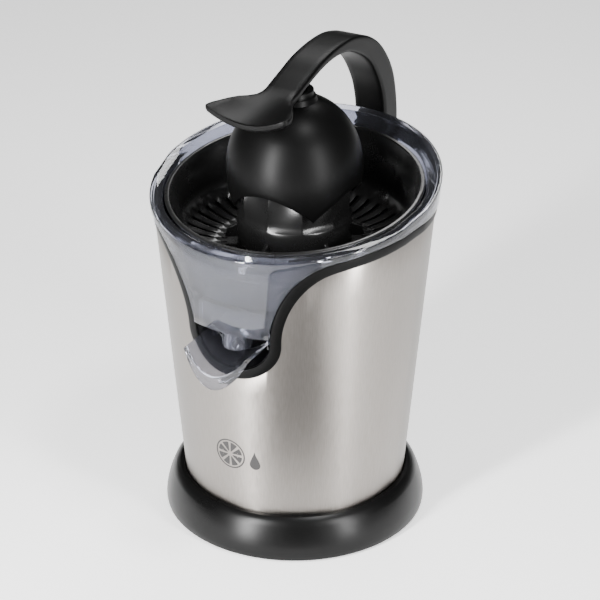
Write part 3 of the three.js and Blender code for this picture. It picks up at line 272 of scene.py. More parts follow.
def brushed_stainless():
    # 18/8 stainless sheet brushed along its height: fine upright lines that pull highlights into
    # soft vertical bands, warm grey in the half light.
    material, tree, shader = finish("brushed_stainless_sheet", Metallic=1.0, Anisotropic=0.8,
                                    Anisotropic_Rotation=0.25)
    lines = node(tree, "ShaderNodeTexNoise", {"Vector": place(tree, (1500, 1500, 7)), "Scale": 1.0,
                                              "Detail": 3.0})
    bands = node(tree, "ShaderNodeTexNoise", {"Vector": place(tree, (60, 60, 0.8)), "Scale": 1.0,
                                              "Detail": 1.0})
    tint(tree, shader, lines.outputs["Fac"], "#827d78", "#9a9590")
    rough = spread(tree, lines.outputs["Fac"], 0.29, 0.37, 0.3, 0.7)
    slow = spread(tree, bands.outputs["Fac"], -0.02, 0.02)
    shade = node(tree, "ShaderNodeMath", {0: rough, 1: slow}, operation="ADD")
    tree.links.new(shade.outputs["Value"], shader.inputs["Roughness"])
    bump = node(tree, "ShaderNodeBump", {"Height": lines.outputs["Fac"], "Strength": 0.06,
                                         "Distance": 0.0001})
    tree.links.new(bump.outputs["Normal"], shader.inputs["Normal"])
    return material


def moulded(name, dark, light, rough, grain_mm, depth, **constants):
    # Injection-moulded plastic: the tool's spark texture gives a fine even grain, with a slow
    # change of sheen where the melt cooled.
    material, tree, shader = finish(name, **constants)
    grain = node(tree, "ShaderNodeTexNoise", {"Vector": place(tree), "Scale": 1000 / grain_mm, "Detail": 2.0})
    flow = node(tree, "ShaderNodeTexNoise", {"Vector": place(tree), "Scale": 22.0, "Detail": 2.0})
    tint(tree, shader, flow.outputs["Fac"], dark, light)
    coarse = spread(tree, flow.outputs["Fac"], rough - 0.03, rough + 0.03, 0.3, 0.7)
    fine = spread(tree, grain.outputs["Fac"], -0.02, 0.02)
    shade = node(tree, "ShaderNodeMath", {0: coarse, 1: fine}, operation="ADD")
    tree.links.new(shade.outputs["Value"], shader.inputs["Roughness"])
    bump = node(tree, "ShaderNodeBump", {"Height": grain.outputs["Fac"], "Strength": depth,
                                         "Distance": 0.00008})
    tree.links.new(bump.outputs["Normal"], shader.inputs["Normal"])
    return material


def clear_polycarbonate():
    # Clear polycarbonate, moulded and unpolished at its edges: it bends light like thin glass,
    # with a faint violet-grey cast and a haze of fine wash marks.
    material, tree, shader = finish("clear_polycarbonate", Transmission_Weight=0.98, IOR=1.45,
                                    Specular_IOR_Level=0.36)
    shader.inputs["Base Color"].default_value = linear("#c0c2ce")
    wash = node(tree, "ShaderNodeTexNoise", {"Vector": place(tree), "Scale": 60.0, "Detail": 3.0})
    tree.links.new(spread(tree, wash.outputs["Fac"], 0.02, 0.09, 0.3, 0.75), shader.inputs["Roughness"])
    return material


def turned_steel():
    # Turned and zinc-plated steel: fine rings from the lathe, slightly blue-grey.
    material, tree, shader = finish("turned_zinc_steel", Metallic=1.0)
    rings = node(tree, "ShaderNodeTexNoise", {"Vector": place(tree), "Scale": 1800.0, "Detail": 2.0})
    tint(tree, shader, rings.outputs["Fac"], "#8f9195", "#b6b8bc")
    tree.links.new(spread(tree, rings.outputs["Fac"], 0.22, 0.36), shader.inputs["Roughness"])
    return material


def rolled_laminations():
    # Silicon-steel sheets half a millimetre thick, stacked: dark seams between blue-grey edges.
    material, tree, shader = finish("stacked_silicon_steel", Metallic=0.9)
    sheets = node(tree, "ShaderNodeTexWave", {"Vector": place(tree), "Scale": 628.0, "Distortion": 0.3},
                  bands_direction="Z")
    tint(tree, shader, sheets.outputs["Fac"], "#3a3d42", "#7d8086")
    tree.links.new(spread(tree, sheets.outputs["Fac"], 0.6, 0.4), shader.inputs["Roughness"])
    return material


def wound_copper():
    # Enamelled copper wire, half a millimetre thick, wound in rows: amber varnish over copper.
    material, tree, shader = finish("enamelled_copper_wire", Metallic=0.8, Coat_Weight=0.5)
    rows = node(tree, "ShaderNodeTexWave", {"Vector": place(tree), "Scale": 628.0, "Distortion": 0.8},
                bands_direction="X")
    tint(tree, shader, rows.outputs["Fac"], "#5a2410", "#b5602c")
    tree.links.new(spread(tree, rows.outputs["Fac"], 0.45, 0.3), shader.inputs["Roughness"])
    bump = node(tree, "ShaderNodeBump", {"Height": rows.outputs["Fac"], "Strength": 0.5, "Distance": 0.0002})
    tree.links.new(bump.outputs["Normal"], shader.inputs["Normal"])
    return material


def sintered_bronze():
    # Oil-filled sintered bronze: a brown-gold metal with open pores.
    material, tree, shader = finish("sintered_bronze", Metallic=0.9)
    pores = node(tree, "ShaderNodeTexVoronoi", {"Vector": place(tree), "Scale": 3000.0})
    tint(tree, shader, pores.outputs["Distance"], "#5c4526", "#a07f4a")
    tree.links.new(spread(tree, pores.outputs["Distance"], 0.6, 0.42), shader.inputs["Roughness"])
    return material


SLEEVE_STEEL = brushed_stainless()
# Satin ABS of the dome and lever: a broad, dull sheen that follows the curve.
SATIN_ABS = moulded("satin_black_abs", "#050505", "#080808", 0.40, 0.5, 0.10, IOR=1.42,
                    Specular_IOR_Level=0.13)
# Polished ABS of the strainer and reamer: tight, bright glints on wet-looking ribs.
GLOSS_ABS = moulded("polished_black_abs", "#131313", "#1a1a1a", 0.27, 0.8, 0.03, IOR=1.5)
# Spark-textured ABS of the foot and housing: a soft shine broken by fine grain.
BLACK_ABS = moulded("spark_textured_black_abs", "#060606", "#0a0a0a", 0.30, 0.45, 0.12,
                    IOR=1.42, Specular_IOR_Level=0.26)
# Trim ABS: the darkest of the plastics, so that the steel's edge reads as a clean line.
TRIM_ABS = moulded("trim_black_abs", "#040404", "#070707", 0.36, 0.6, 0.05, IOR=1.42, Specular_IOR_Level=0.12)
# Moulded rubber: matte and a little dusty.
BLACK_RUBBER = moulded("moulded_black_rubber", "#0a0a0a", "#101010", 0.78, 0.6, 0.35, IOR=1.52)
# Natural acetal: waxy off-white.
WHITE_ACETAL = moulded("natural_white_acetal", "#d9d4c6", "#e8e4d8", 0.42, 0.7, 0.06, IOR=1.48)
# Screen-print ink: flat and slightly raised, with no sheen of the steel.
PRINT_INK = moulded("screen_print_ink", "#1b1a1a", "#262424", 0.55, 0.4, 0.05, IOR=1.5)
CLEAR = clear_polycarbonate()
TURNED_STEEL = turned_steel()
LAMINATIONS = rolled_laminations()
WOUND_COPPER = wound_copper()
BRONZE = sintered_bronze()

SLOT_FINISH = {
    "brushed_sleeve": SLEEVE_STEEL, "satin_black_abs": SATIN_ABS, "gloss_black_abs": GLOSS_ABS,
    "black_abs": BLACK_ABS,
    "clear_polycarbonate": CLEAR, "black_rubber": BLACK_RUBBER, "turned_steel": TURNED_STEEL,
    "motor_steel": LAMINATIONS,
    "copper_winding": WOUND_COPPER, "sintered_bronze": BRONZE, "acetal_white": WHITE_ACETAL,
}


def fit_out(made, material, body, slot, *stands_for):
    """Gives a finished piece its material and its body, and hides the CAD nodes it stands for; slot is not
    used.
    """
    made.data.materials.clear()
    made.data.materials.append(material)
    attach(made, body)
    if stands_for:
        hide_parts(*stands_for)
    return made


# ---- The front cut-out ---------------------------------------------------------------------------
def cut_curve():
    """Half of the U and its flare, as (x, z) with the way that points into the opening."""
    side_z, flare_z, edge_x = CUT_BOTTOM + 29, SLEEVE_TOP - 11.3, sleeve_r(SLEEVE_TOP)
    flare = (CUT_FLARE_X, flare_z)
    points = arc(0, side_z, CUT_HALF, side_z - CUT_BOTTOM, -90, 0, 16)
    points += bezier((CUT_HALF, side_z), (CUT_HALF + 0.5, side_z + 19), (CUT_FLARE_X - 13.3, flare_z - 9.7),
                     flare, 16)[1:]
    points += bezier(flare, (CUT_FLARE_X + 8.7, flare_z + 6.3), (edge_x - 14, SLEEVE_TOP - 5.5),
                     (edge_x, SLEEVE_TOP), 16)[1:]
    made = []
    for i, (x, z) in enumerate(points):
        before, after = points[max(i - 1, 0)], points[min(i + 1, len(points) - 1)]
        along = Vector((after[0] - before[0], after[1] - before[1])).normalized()
        inwards = Vector((0, 1)) if i in (0, len(points) - 1) else Vector((-along.y, along.x))
        made.append((x, z, inwards))
    return made


CUT = cut_curve()


def edge_place(x, z, inwards, inset):
    """Angle round the sleeve, from the front, and height of a point of the outline moved into the opening."""
    px, pz = x + inwards.x * inset, z + inwards.y * inset
    angle = math.asin(min(1, px / sleeve_r(pz)))
    level = math.asin(min(1, x / sleeve_r(z)))
    share = max(0, min(1, (math.degrees(level) - 62) / 26))
    return angle + (level - angle) * share, pz


def edge_columns(inset):
    """(angle, height) all round: the outline moved by inset in front, and the level edge behind."""
    right = [edge_place(x, z, inwards, inset) for x, z, inwards in CUT]
    top = right[-1][1]
    behind = [(math.radians(90 + 2.5 * i), top) for i in range(1, 72)]
    left = [(2 * math.pi - angle, z) for angle, z in right[:0:-1]]
    return right + behind + left


def polar(r, angle, z):
    """A point by its distance from the axis, its angle from the front and its height."""
    return (r * math.sin(angle), -r * math.cos(angle), z)


def leaned(r, angle, z, low=FLOOR_Z + 15):
    """The same, with heights above low leaned to the rim's slope."""
    share = min(1.2, max(0, (z - low) / (RIM_Z - low)))
    return polar(r, angle, z - math.tan(RIM_TILT) * r * math.cos(angle) * share)


def in_notch(angle, z):
    """Whether a place on the wall falls in the bracket's notch."""
    return abs(sleeve_r(z) * math.sin(angle)) < NOTCH_HALF and math.cos(angle) < 0


def make_sleeve():
    """Rolled steel sleeve: the wall up to the cut-out's outline, with the bracket's notch behind."""
    columns = []
    for angle, top in edge_columns(0):
        if in_notch(angle, top):
            continue
        columns.append((angle, top))
    notch = math.asin(NOTCH_HALF / sleeve_r(NOTCH_Z))
    for side in (-1, 1):
        columns.append((math.pi + side * (notch + 0.002), SLEEVE_TOP))
        columns.append((math.pi + side * notch, NOTCH_Z))
        columns.append((math.pi + side * notch / 2, NOTCH_Z))
    columns.sort()
    rows = []
    for angle, top in columns:
        heights = [SLEEVE_LOW.z + (top - 0.3 - SLEEVE_LOW.z) * i / 8 for i in range(9)]
        outer = [(sleeve_r(z), z) for z in heights] + [(sleeve_r(top) - 0.15, top)]
        inner = [(sleeve_r(top) - SLEEVE_WALL + 0.15, top)]
        inner += [(sleeve_r(z) - SLEEVE_WALL, z) for z in reversed(heights)]
        rows.append([polar(r, angle, z) for r, z in outer + inner])
    return fit_out(skin("rolled_sleeve", rows), SLEEVE_STEEL, "root", "brushed_sleeve", "steel_sleeve")


def make_trim():
    """Black trim along the sleeve's edge: a rounded strip whose lower lip laps over the steel."""
    section = [(-1.0, 0.12), (-0.95, 0.6), (-0.6, 0.88), (0.6, 1.02), (4.7, 1.0), (5.7, 0.75), (6.2, 0.1),
               (6.2, -0.7), (0.35, -0.7), (0.35, 0.12)]
    notch = math.asin(NOTCH_HALF / sleeve_r(SLEEVE_TOP))
    columns = [[edge_place(x, z, w, inset) for inset, _ in section] for x, z, w in CUT]
    steps = 48
    for i in range(1, steps + 1):
        angle = math.pi / 2 + (math.pi / 2 - notch) * i / steps
        columns.append([(angle, SLEEVE_TOP + inset) for inset, _ in section])
    right = [[polar(sleeve_r(z) + out, a, z) for (a, z), (_, out) in zip(places,
                                                                         section)] for places in columns]
    left = [[(-x, y, z) for x, y, z in row] for row in right[:0:-1]]
    return fit_out(skin("edge_trim", left + right, ring_rows=False, capped=True), TRIM_ABS, "root",
                   "satin_black_abs",
                   "trim_band")


def make_housing():
    """Black inner housing, seen behind the spout: a copy of its CAD shape, shaded smooth on its round walls."""
    source = frame["nodes"]["inner_housing"]
    made = bpy.data.objects.new("motor_housing", source.data.copy())
    bpy.context.scene.collection.objects.link(made)
    outward(made)
    made.data.shade_smooth()
    made.data.set_sharp_from_angle(angle=math.radians(30))
    return fit_out(made, BLACK_ABS, "root", "black_abs", "inner_housing")


# ---- Clear collector, nozzle and chute -----------------------------------------------------------
def make_collector():
    """Clear collector: outer wall with the front bib, sloped brim, bowl and hub, drawn column by column."""
    bowl_r = lambda z: sleeve_r(z) - SLEEVE_WALL - GAP - HOUSING_WALL - 1
    bowl_low = DECK_Z + 1.5
    basket_r = BASKET_HIGH.x
    rows = []
    for angle, edge in edge_columns(TRIM_WIDTH + GAP):
        low = max(edge, BIB_Z)
        slope = math.tan(RIM_TILT) * math.cos(angle)
        rim = (RIM_Z - slope * (sleeve_r(RIM_Z) + CLEAR_PROUD)) / (1 + slope * SLEEVE_FLARE)
        wall = lambda z, out: (sleeve_r(z) + out, z)
        outer = [wall(low, 0.4), wall(low, 1.6), wall(low + 0.4, 2.0)]
        outer += [wall(low + (rim - low) * i / 6, 2.0) for i in range(1, 6)]
        outer += [wall(rim - 0.7, 2.0), wall(rim - 0.2, 1.8), wall(rim, 1.2), wall(rim, 0.2)]
        brim = [(basket_r + 5.5, RIM_Z - 1.3), (basket_r + 2.2, RIM_Z - 2.6), (basket_r + 1.3, RIM_Z - 3.6),
                (basket_r + 0.7, RIM_Z - 6), (bowl_r(FLOOR_Z) + 1, FLOOR_Z + 16),
                (bowl_r(FLOOR_Z) - 2, FLOOR_Z),
                (bowl_r(bowl_low) - 5, bowl_low + 2.6), (bowl_r(bowl_low) - 8, bowl_low + 2),
                (16, bowl_low + 2),
                (14.3, bowl_low + 3.5), (14, bowl_low + 5), (14, FLOOR_Z + 7.6), (13.6, FLOOR_Z + 8),
                (12.4, FLOOR_Z + 8), (12, FLOOR_Z + 7.6), (12, bowl_low), (bowl_r(bowl_low) - 3, bowl_low),
                (bowl_r(bowl_low), bowl_low + 3), (bowl_r(FLOOR_Z), FLOOR_Z),
                (bowl_r(RIM_Z - 14), RIM_Z - 14), (bowl_r(RIM_Z - 9) + 1, RIM_Z - 8)]
        inner_top = rim - 2.6
        inner = [wall(inner_top, -1.2), wall(inner_top - 1.4, 0.1)] + [
            wall(inner_top - 1.4 + (low + 0.3 - inner_top + 1.4) * i / 6, 0.1) for i in range(1, 7)]
        rows.append([polar(r, angle, z) for r, z in outer] + [leaned(r, angle, z) for r, z in brim]
                    + [polar(r, angle, z) for r, z in inner])
    return fit_out(skin("collector_bowl", rows, sharp=50), CLEAR, "root", "clear_polycarbonate",
                   "juice_collector")


def make_nozzle():
    """Round ribbed nozzle under the collector's front, the collar over it and the open sump box."""
    y = -(sleeve_r(BIB_Z) - 10.16)
    rows = []
    for i in range(96):
        angle = 2 * math.pi * i / 96
        grip = 0.35 * max(0, math.cos(12 * angle))
        profile = [(6.5, BIB_Z - 13), (9.2, BIB_Z - 13), (9.6 + grip, BIB_Z - 12.4), (9.6 + grip, BIB_Z - 3),
                   (9.9, BIB_Z - 1.5), (10.4, BIB_Z - 0.2), (6.9, BIB_Z - 0.2), (6.5, BIB_Z - 0.8)]
        rows.append([(r * math.sin(angle), y - r * math.cos(angle), z) for r, z in profile])
    fit_out(skin("juice_nozzle", rows), CLEAR, "root", "clear_polycarbonate")
    arch = [(8.0, BIB_Z + 2.3), (9.4, BIB_Z + 2.3), (9.4, BIB_Z + 6.5), (8.9, BIB_Z + 8.3),
            (7.6, BIB_Z + 9.6), (6.8, BIB_Z + 9.3), (7.6, BIB_Z + 7.8), (8.0, BIB_Z + 6)]
    fit_out(turned("nozzle_collar", arch, 96, centre=(0, y)), CLEAR, "root", "clear_polycarbonate")
    half, back, top = 24, 59, DECK_Z + 1.2
    front = lambda x, out: -math.sqrt((sleeve_r(BIB_Z + 8) - out) ** 2 - x * x)
    xs = [-half + 2 * half * k / 16 for k in range(17)]
    outline = [(x, front(x, 0.8)) for x in xs] + [(half, -back), (-half, -back)]
    inside = [(max(-half + 2, min(half - 2, x)), front(x, 2.8)) for x in xs]
    inside += [(half - 2, -back - 2), (-half + 2, -back - 2)]
    rows = [[(x, y, z) for x, y in ring] for ring, z in (
        (outline, BIB_Z + 0.1), (outline, top), (inside, top), (inside, BIB_Z + 2.1))]
    return fit_out(skin("juice_sump", rows, ring_rows=False, capped=True), CLEAR, "root",
                   "clear_polycarbonate")


def plate(name, outline, axis, start, end, edge=0.4, corner=1.0):
    """A flat outline made thick along X (outline in y, z) or Y (in x, z), with eased corners and edges."""
    outline = eased(outline, corner, 4)
    area = sum(a[0] * b[1] - b[0] * a[1] for a, b in zip(outline, outline[1:] + outline[:1]))
    inset = edge if area > 0 else -edge
    small = []
    for i, p in enumerate(outline):
        along = Vector(outline[(i + 1) % len(outline)]) - Vector(outline[i - 1])
        side = Vector((-along.y, along.x)).normalized()
        small.append(tuple(Vector(p) + side * inset))
    put = {"x": lambda p, t: (t, p[0], p[1]), "y": lambda p, t: (p[0], t, p[1])}[axis]
    layers = [(small, start), (outline, start + edge), (outline, end - edge), (small, end)]
    return skin(name, [[put(p, t) for p in points] for points, t in layers], ring_rows=False, capped=True)


def make_chute():
    """Clear drip-stop chute: a shallow channel whose lip bulges forward and turns down, and two side arms."""
    half, thick = 21.6, 1.8
    edge_z = CHUTE_HIGH.z
    pin_y = (CHUTE_PIN_LOW.y + CHUTE_PIN_HIGH.y) / 2
    pin_z = (CHUTE_PIN_LOW.z + CHUTE_PIN_HIGH.z) / 2
    front = pin_y - 42
    across = [k / 16 - 1 for k in range(33)]
    rows = []
    stations = ((pin_y - 7, 11.5, 0), (pin_y - 15, 12.2, 0), (pin_y - 24, 12.6, 0), (pin_y - 32, 13.2, 0),
                (pin_y - 38, 13.7, 0), (front + 2.2, 14.1, 0), (front + 1.7, 14.2, 5.5),
                (front + 1.0, 14.3, 7.6), (front + 0.3, 14.4, 7.8), (front, 14.6, 7.0))
    for y, depth, drop in stations:
        upper, lower = [], []
        for a in across:
            bow = 1 - a * a
            nose = bow * 6 * (pin_y - y) / (pin_y - front)
            z = edge_z - depth * bow ** 0.9
            upper.append((half * a, y - nose, z))
            lower.append(((half + thick * abs(a)) * a, y - nose, z - thick - drop * bow ** 0.8))
        rows.append(upper + lower[::-1])
    channel = skin("drip_channel", rows, ring_rows=False, capped=True)
    fit_out(channel, CLEAR, "chute", "clear_polycarbonate", "drip_chute")
    back = pin_y + 3.6
    for side, name in ((-1, "drip_arm_left"), (1, "drip_arm_right")):
        outline = [(back, pin_z - 2.8), (back, edge_z), (pin_y - 10, edge_z), (pin_y - 10, edge_z - 8),
                   (pin_y - 7, edge_z - 9)]
        x0, x1 = sorted((side * half, side * (half - thick)))
        fit_out(plate(name, outline, "x", x0, x1, 0.3, 1.6), CLEAR, "chute", "clear_polycarbonate")
    pin = bar("drip_pin", "x", 2, (pin_y, pin_z), CHUTE_PIN_LOW.x, CHUTE_PIN_HIGH.x)
    fit_out(pin, TURNED_STEEL, "root", "turned_steel", "chute_pin")


# ---- Strainer and reamer -------------------------------------------------------------------------
def baked(made, **modifiers):
    """Adds modifiers by kind with their settings, and turns the result into the object's own mesh."""
    for kind, settings in modifiers.items():
        modifier = made.modifiers.new(kind, kind.upper())
        for key, value in settings.items():
            setattr(modifier, key, value)
    seen = bpy.context.evaluated_depsgraph_get()
    mesh = bpy.data.meshes.new_from_object(made.evaluated_get(seen))
    made.modifiers.clear()
    made.data = mesh
    return made


def ring_tree(material):
    """Geometry Nodes that repeat a part round the upright axis; count, radius and first angle are inputs."""
    tree = bpy.data.node_groups.new("repeat_round_axis", "GeometryNodeTree")
    tree.interface.new_socket("Part", in_out="INPUT", socket_type="NodeSocketGeometry")
    sizes = (("Count", "NodeSocketInt"), ("Radius", "NodeSocketFloat"), ("First Angle", "NodeSocketFloat"))
    for title, kind in sizes:
        tree.interface.new_socket(title, in_out="INPUT", socket_type=kind)
    tree.interface.new_socket("Result", in_out="OUTPUT", socket_type="NodeSocketGeometry")
    given = node(tree, "NodeGroupInput")
    step = node(tree, "ShaderNodeMath", {0: 2 * math.pi, 1: given.outputs["Count"]}, operation="DIVIDE")
    index = node(tree, "GeometryNodeInputIndex")
    turn = node(tree, "ShaderNodeMath", {0: index.outputs["Index"], 1: step.outputs["Value"],
                                         2: given.outputs["First Angle"]}, operation="MULTIPLY_ADD")
    out = node(tree, "ShaderNodeCombineXYZ", {"X": given.outputs["Radius"]})
    round_z = node(tree, "ShaderNodeCombineXYZ", {"Z": turn.outputs["Value"]})
    spot = node(tree, "ShaderNodeVectorRotate", {"Vector": out.outputs["Vector"],
                                                 "Angle": turn.outputs["Value"]},
                rotation_type="Z_AXIS")
    spots = node(tree, "GeometryNodePoints", {"Count": given.outputs["Count"],
                                              "Position": spot.outputs["Vector"]})
    copies = node(tree, "GeometryNodeInstanceOnPoints", {"Points": spots.outputs["Geometry"],
                                                         "Instance": given.outputs["Part"],
                                                         "Rotation": round_z.outputs["Vector"]})
    whole = node(tree, "GeometryNodeRealizeInstances", {"Geometry": copies.outputs["Instances"]})
    dressed = node(tree, "GeometryNodeSetMaterial", {"Geometry": whole.outputs["Geometry"],
                                                     "Material": material})
    node(tree, "NodeGroupOutput", {"Result": dressed.outputs["Geometry"]})
    return tree


def round_the_axis(made, material, count, radius, first=0.0):
    """Repeats a part count times on a circle of that radius, as one mesh."""
    modifier = made.modifiers.new("repeat", "NODES")
    tree = ring_tree(material)
    values = {"Count": count, "Radius": radius * MM, "First Angle": math.radians(first)}
    modifier.node_group = tree
    for socket in tree.interface.items_tree:
        if socket.name in values:
            modifier[socket.identifier] = values[socket.name]
    return baked(made)


def make_basket():
    """Black strainer: 48 radial slots round an upward-curving floor, with short slots inside them."""
    r_rim = BASKET_HIGH.x
    brim = RIM_Z - 2.5
    profile = [(r_rim - 0.2, brim - 1.8), (r_rim - 0.2, brim - 0.8), (r_rim - 1.0, brim - 0.2),
               (r_rim - 3.0, brim - 0.2), (r_rim - 3.8, brim - 1.6), (r_rim - 5.2, FLOOR_Z + 27),
               (r_rim - 6.6, FLOOR_Z + 18), (80.2, FLOOR_Z + 13), (78.2, FLOOR_Z + 9.2),
               (76.4, FLOOR_Z + 6.9), (75, FLOOR_Z + 5.6), (70, FLOOR_Z + 3.4), (65, FLOOR_Z + 1.8),
               (60, FLOOR_Z + 0.7), (55, FLOOR_Z + 0.1), (52, FLOOR_Z), (49.5, FLOOR_Z), (45.5, FLOOR_Z),
               (43, FLOOR_Z),
               (20.5, FLOOR_Z), (19.4, FLOOR_Z + 0.8), (18.9, FLOOR_Z + 2), (18.9, FLOOR_Z + 8.8)]
    long_slot, short_slot = (10, 14), (16, 17)  # the stretches of the profile that the slots leave open
    slots = 48
    offsets = (-0.97, 0.97, 2.4, 3.75, 5.1)  # the first two bound a slot, and the fourth is a rib's crest
    points, faces = [], []
    for k in range(slots):
        for offset in offsets:
            angle = math.radians(360 * k / slots + offset)
            for r, z in profile:
                rib = 1.3 * math.exp(-(((offset - 3.75) / 1.3) ** 2)) if 54 < r < 77 else 0
                points.append(leaned(r, angle, z + rib))
    wide, count = len(profile), slots * len(offsets)
    for c in range(count):
        for i in range(wide - 1):
            in_slot = c % len(offsets) == 0
            if in_slot and (long_slot[0] <= i < long_slot[1] or short_slot[0] <= i < short_slot[1]):
                continue
            a, b = c * wide + i, ((c + 1) % count) * wide + i
            faces.append((a, a + 1, b + 1, b))
    made = piece_from("strainer_bowl", points, faces)
    baked(made, Solidify={"thickness": 1.9 * MM, "offset": 1.0, "use_even_offset": True})
    outward(made)
    baked(made, Bevel={"width": 0.3 * MM, "segments": 2, "limit_method": "ANGLE",
                       "angle_limit": math.radians(50)})
    made.data.shade_smooth()
    made.data.set_sharp_from_angle(angle=math.radians(40))
    return fit_out(made, GLOSS_ABS, "root", "gloss_black_abs", "strainer_basket")


def make_reamer():
    """Ribbed reamer on a straight skirt, hollow below, with the small sweeps at its foot."""
    low, top = REAMER_LOW.z, REAMER_HIGH.z
    shoulder, r0 = low + 22, 38.5
    height = top - shoulder
    facets = 240
    profile = [(r0 - 2.2, low + 0.2, 0), (r0 - 0.3, low, 0), (r0, low + 0.4, 0), (r0, shoulder - 8, 0),
               (r0 - 0.1, shoulder - 4.6, 0), (r0 - 0.6, shoulder - 3.6, 0.1), (r0 - 1.8, shoulder - 2, 0.3)]
    for i in range(29):
        share = i / 28
        profile.append(((r0 - 2.5) * math.cos(share ** 1.15 * math.pi / 2), shoulder + height * share,
                        math.sin(math.pi * min(1, share * 1.1)) + 0.25 * (1 - share)))
    profile[-1] = (0, top, 0)
    rows = []
    for i in range(facets):
        angle = 2 * math.pi * i / facets
        ridge = 1 - 2 * abs(math.sin(5 * angle)) ** 0.75
        rows.append([polar(r * (1 + 0.07 * grow * ridge), angle, z) for r, z, grow in profile]
                    + [polar(r, angle, z) for r, z in ((0, top - 22), (r0 - 21, top - 22),
                                                       (r0 - 9, shoulder + 12), (r0 - 2.2, shoulder - 4))])
    fit_out(skin("reamer_ribs", rows, sharp=50), GLOSS_ABS, "spindle", "gloss_black_abs", "reamer_cone")
    outline = [(r0 - 0.6, low + 0.2), (47, low), (45.2, low + 6.6), (r0 - 0.6, low + 10)]
    sweeps = round_the_axis(plate("pulp_sweeps", outline, "y", -1.2, 1.2, 0.35, 1.5), GLOSS_ABS, 6, 0, 30)
    fit_out(sweeps, GLOSS_ABS, "spindle", "gloss_black_abs")


# ---- Dome and lever ------------------------------------------------------------------------------
def make_dome():
    """Egg-shaped dome with four arches in its lower edge, and the neck that hangs on the lever's stud."""
    crown, neck_r = DOME_CROWN, 12.7
    wide, r_max, thick = crown - 48.5, DOME_HIGH.x, 2.5
    low, neck_top = wide - 25, DOME_HIGH.z

    def egg(z, r, top):
        """Radius of the egg at a height: drawn in a little below its widest place, closed above."""
        if z < wide:
            return r - 3.4 * ((wide - z) / 25) ** 1.9
        return r * math.sqrt(max(0, 1 - ((z - wide) / (top - wide)) ** 2)) ** 0.92

    def height_at(r, r_max, top):
        """Height at which the upper egg has narrowed to a radius."""
        return wide + (top - wide) * math.sqrt(1 - (r / r_max) ** (2 / 0.92))

    neck_z = height_at(neck_r + 2.6, r_max, crown)
    hole_z = height_at(9, r_max - thick, crown - 4)
    rows = []
    for i in range(ROUND):
        angle = 2 * math.pi * i / ROUND
        near = abs((math.degrees(angle) % 90) - 45) / 45
        edge = low + 18 * math.sin(near * math.pi / 2) ** 0.9
        start = edge + 0.9
        profile = []
        for k in range(27):
            z = start + (neck_z - start) * math.sin(k / 26 * math.pi / 2)
            profile.append((egg(z, r_max, crown), z))
        profile += [(neck_r + 1.5, crown + 0.9), (neck_r + 0.5, crown + 1.5), (neck_r, crown + 2.3),
                    (neck_r, neck_top - 0.6), (neck_r - 0.5, neck_top), (9.0, neck_top),
                    (8.3, neck_top - 0.6), (8.3, crown - 4)]
        for k in range(17):
            z = start + (hole_z - start) * math.sin((16 - k) / 16 * math.pi / 2)
            profile.append((egg(z, r_max - thick, crown - 4), z))
        base = egg(edge, r_max, crown)
        profile += [(base - thick + 0.3, edge + 0.2), (base - thick + 0.9, edge), (base - 0.9, edge),
                    (base - 0.2, edge + 0.3)]
        rows.append([polar(r, angle, z) for r, z in profile])
    return fit_out(skin("press_dome_shell", rows), SATIN_ABS, "dome", "satin_black_abs", "press_dome")


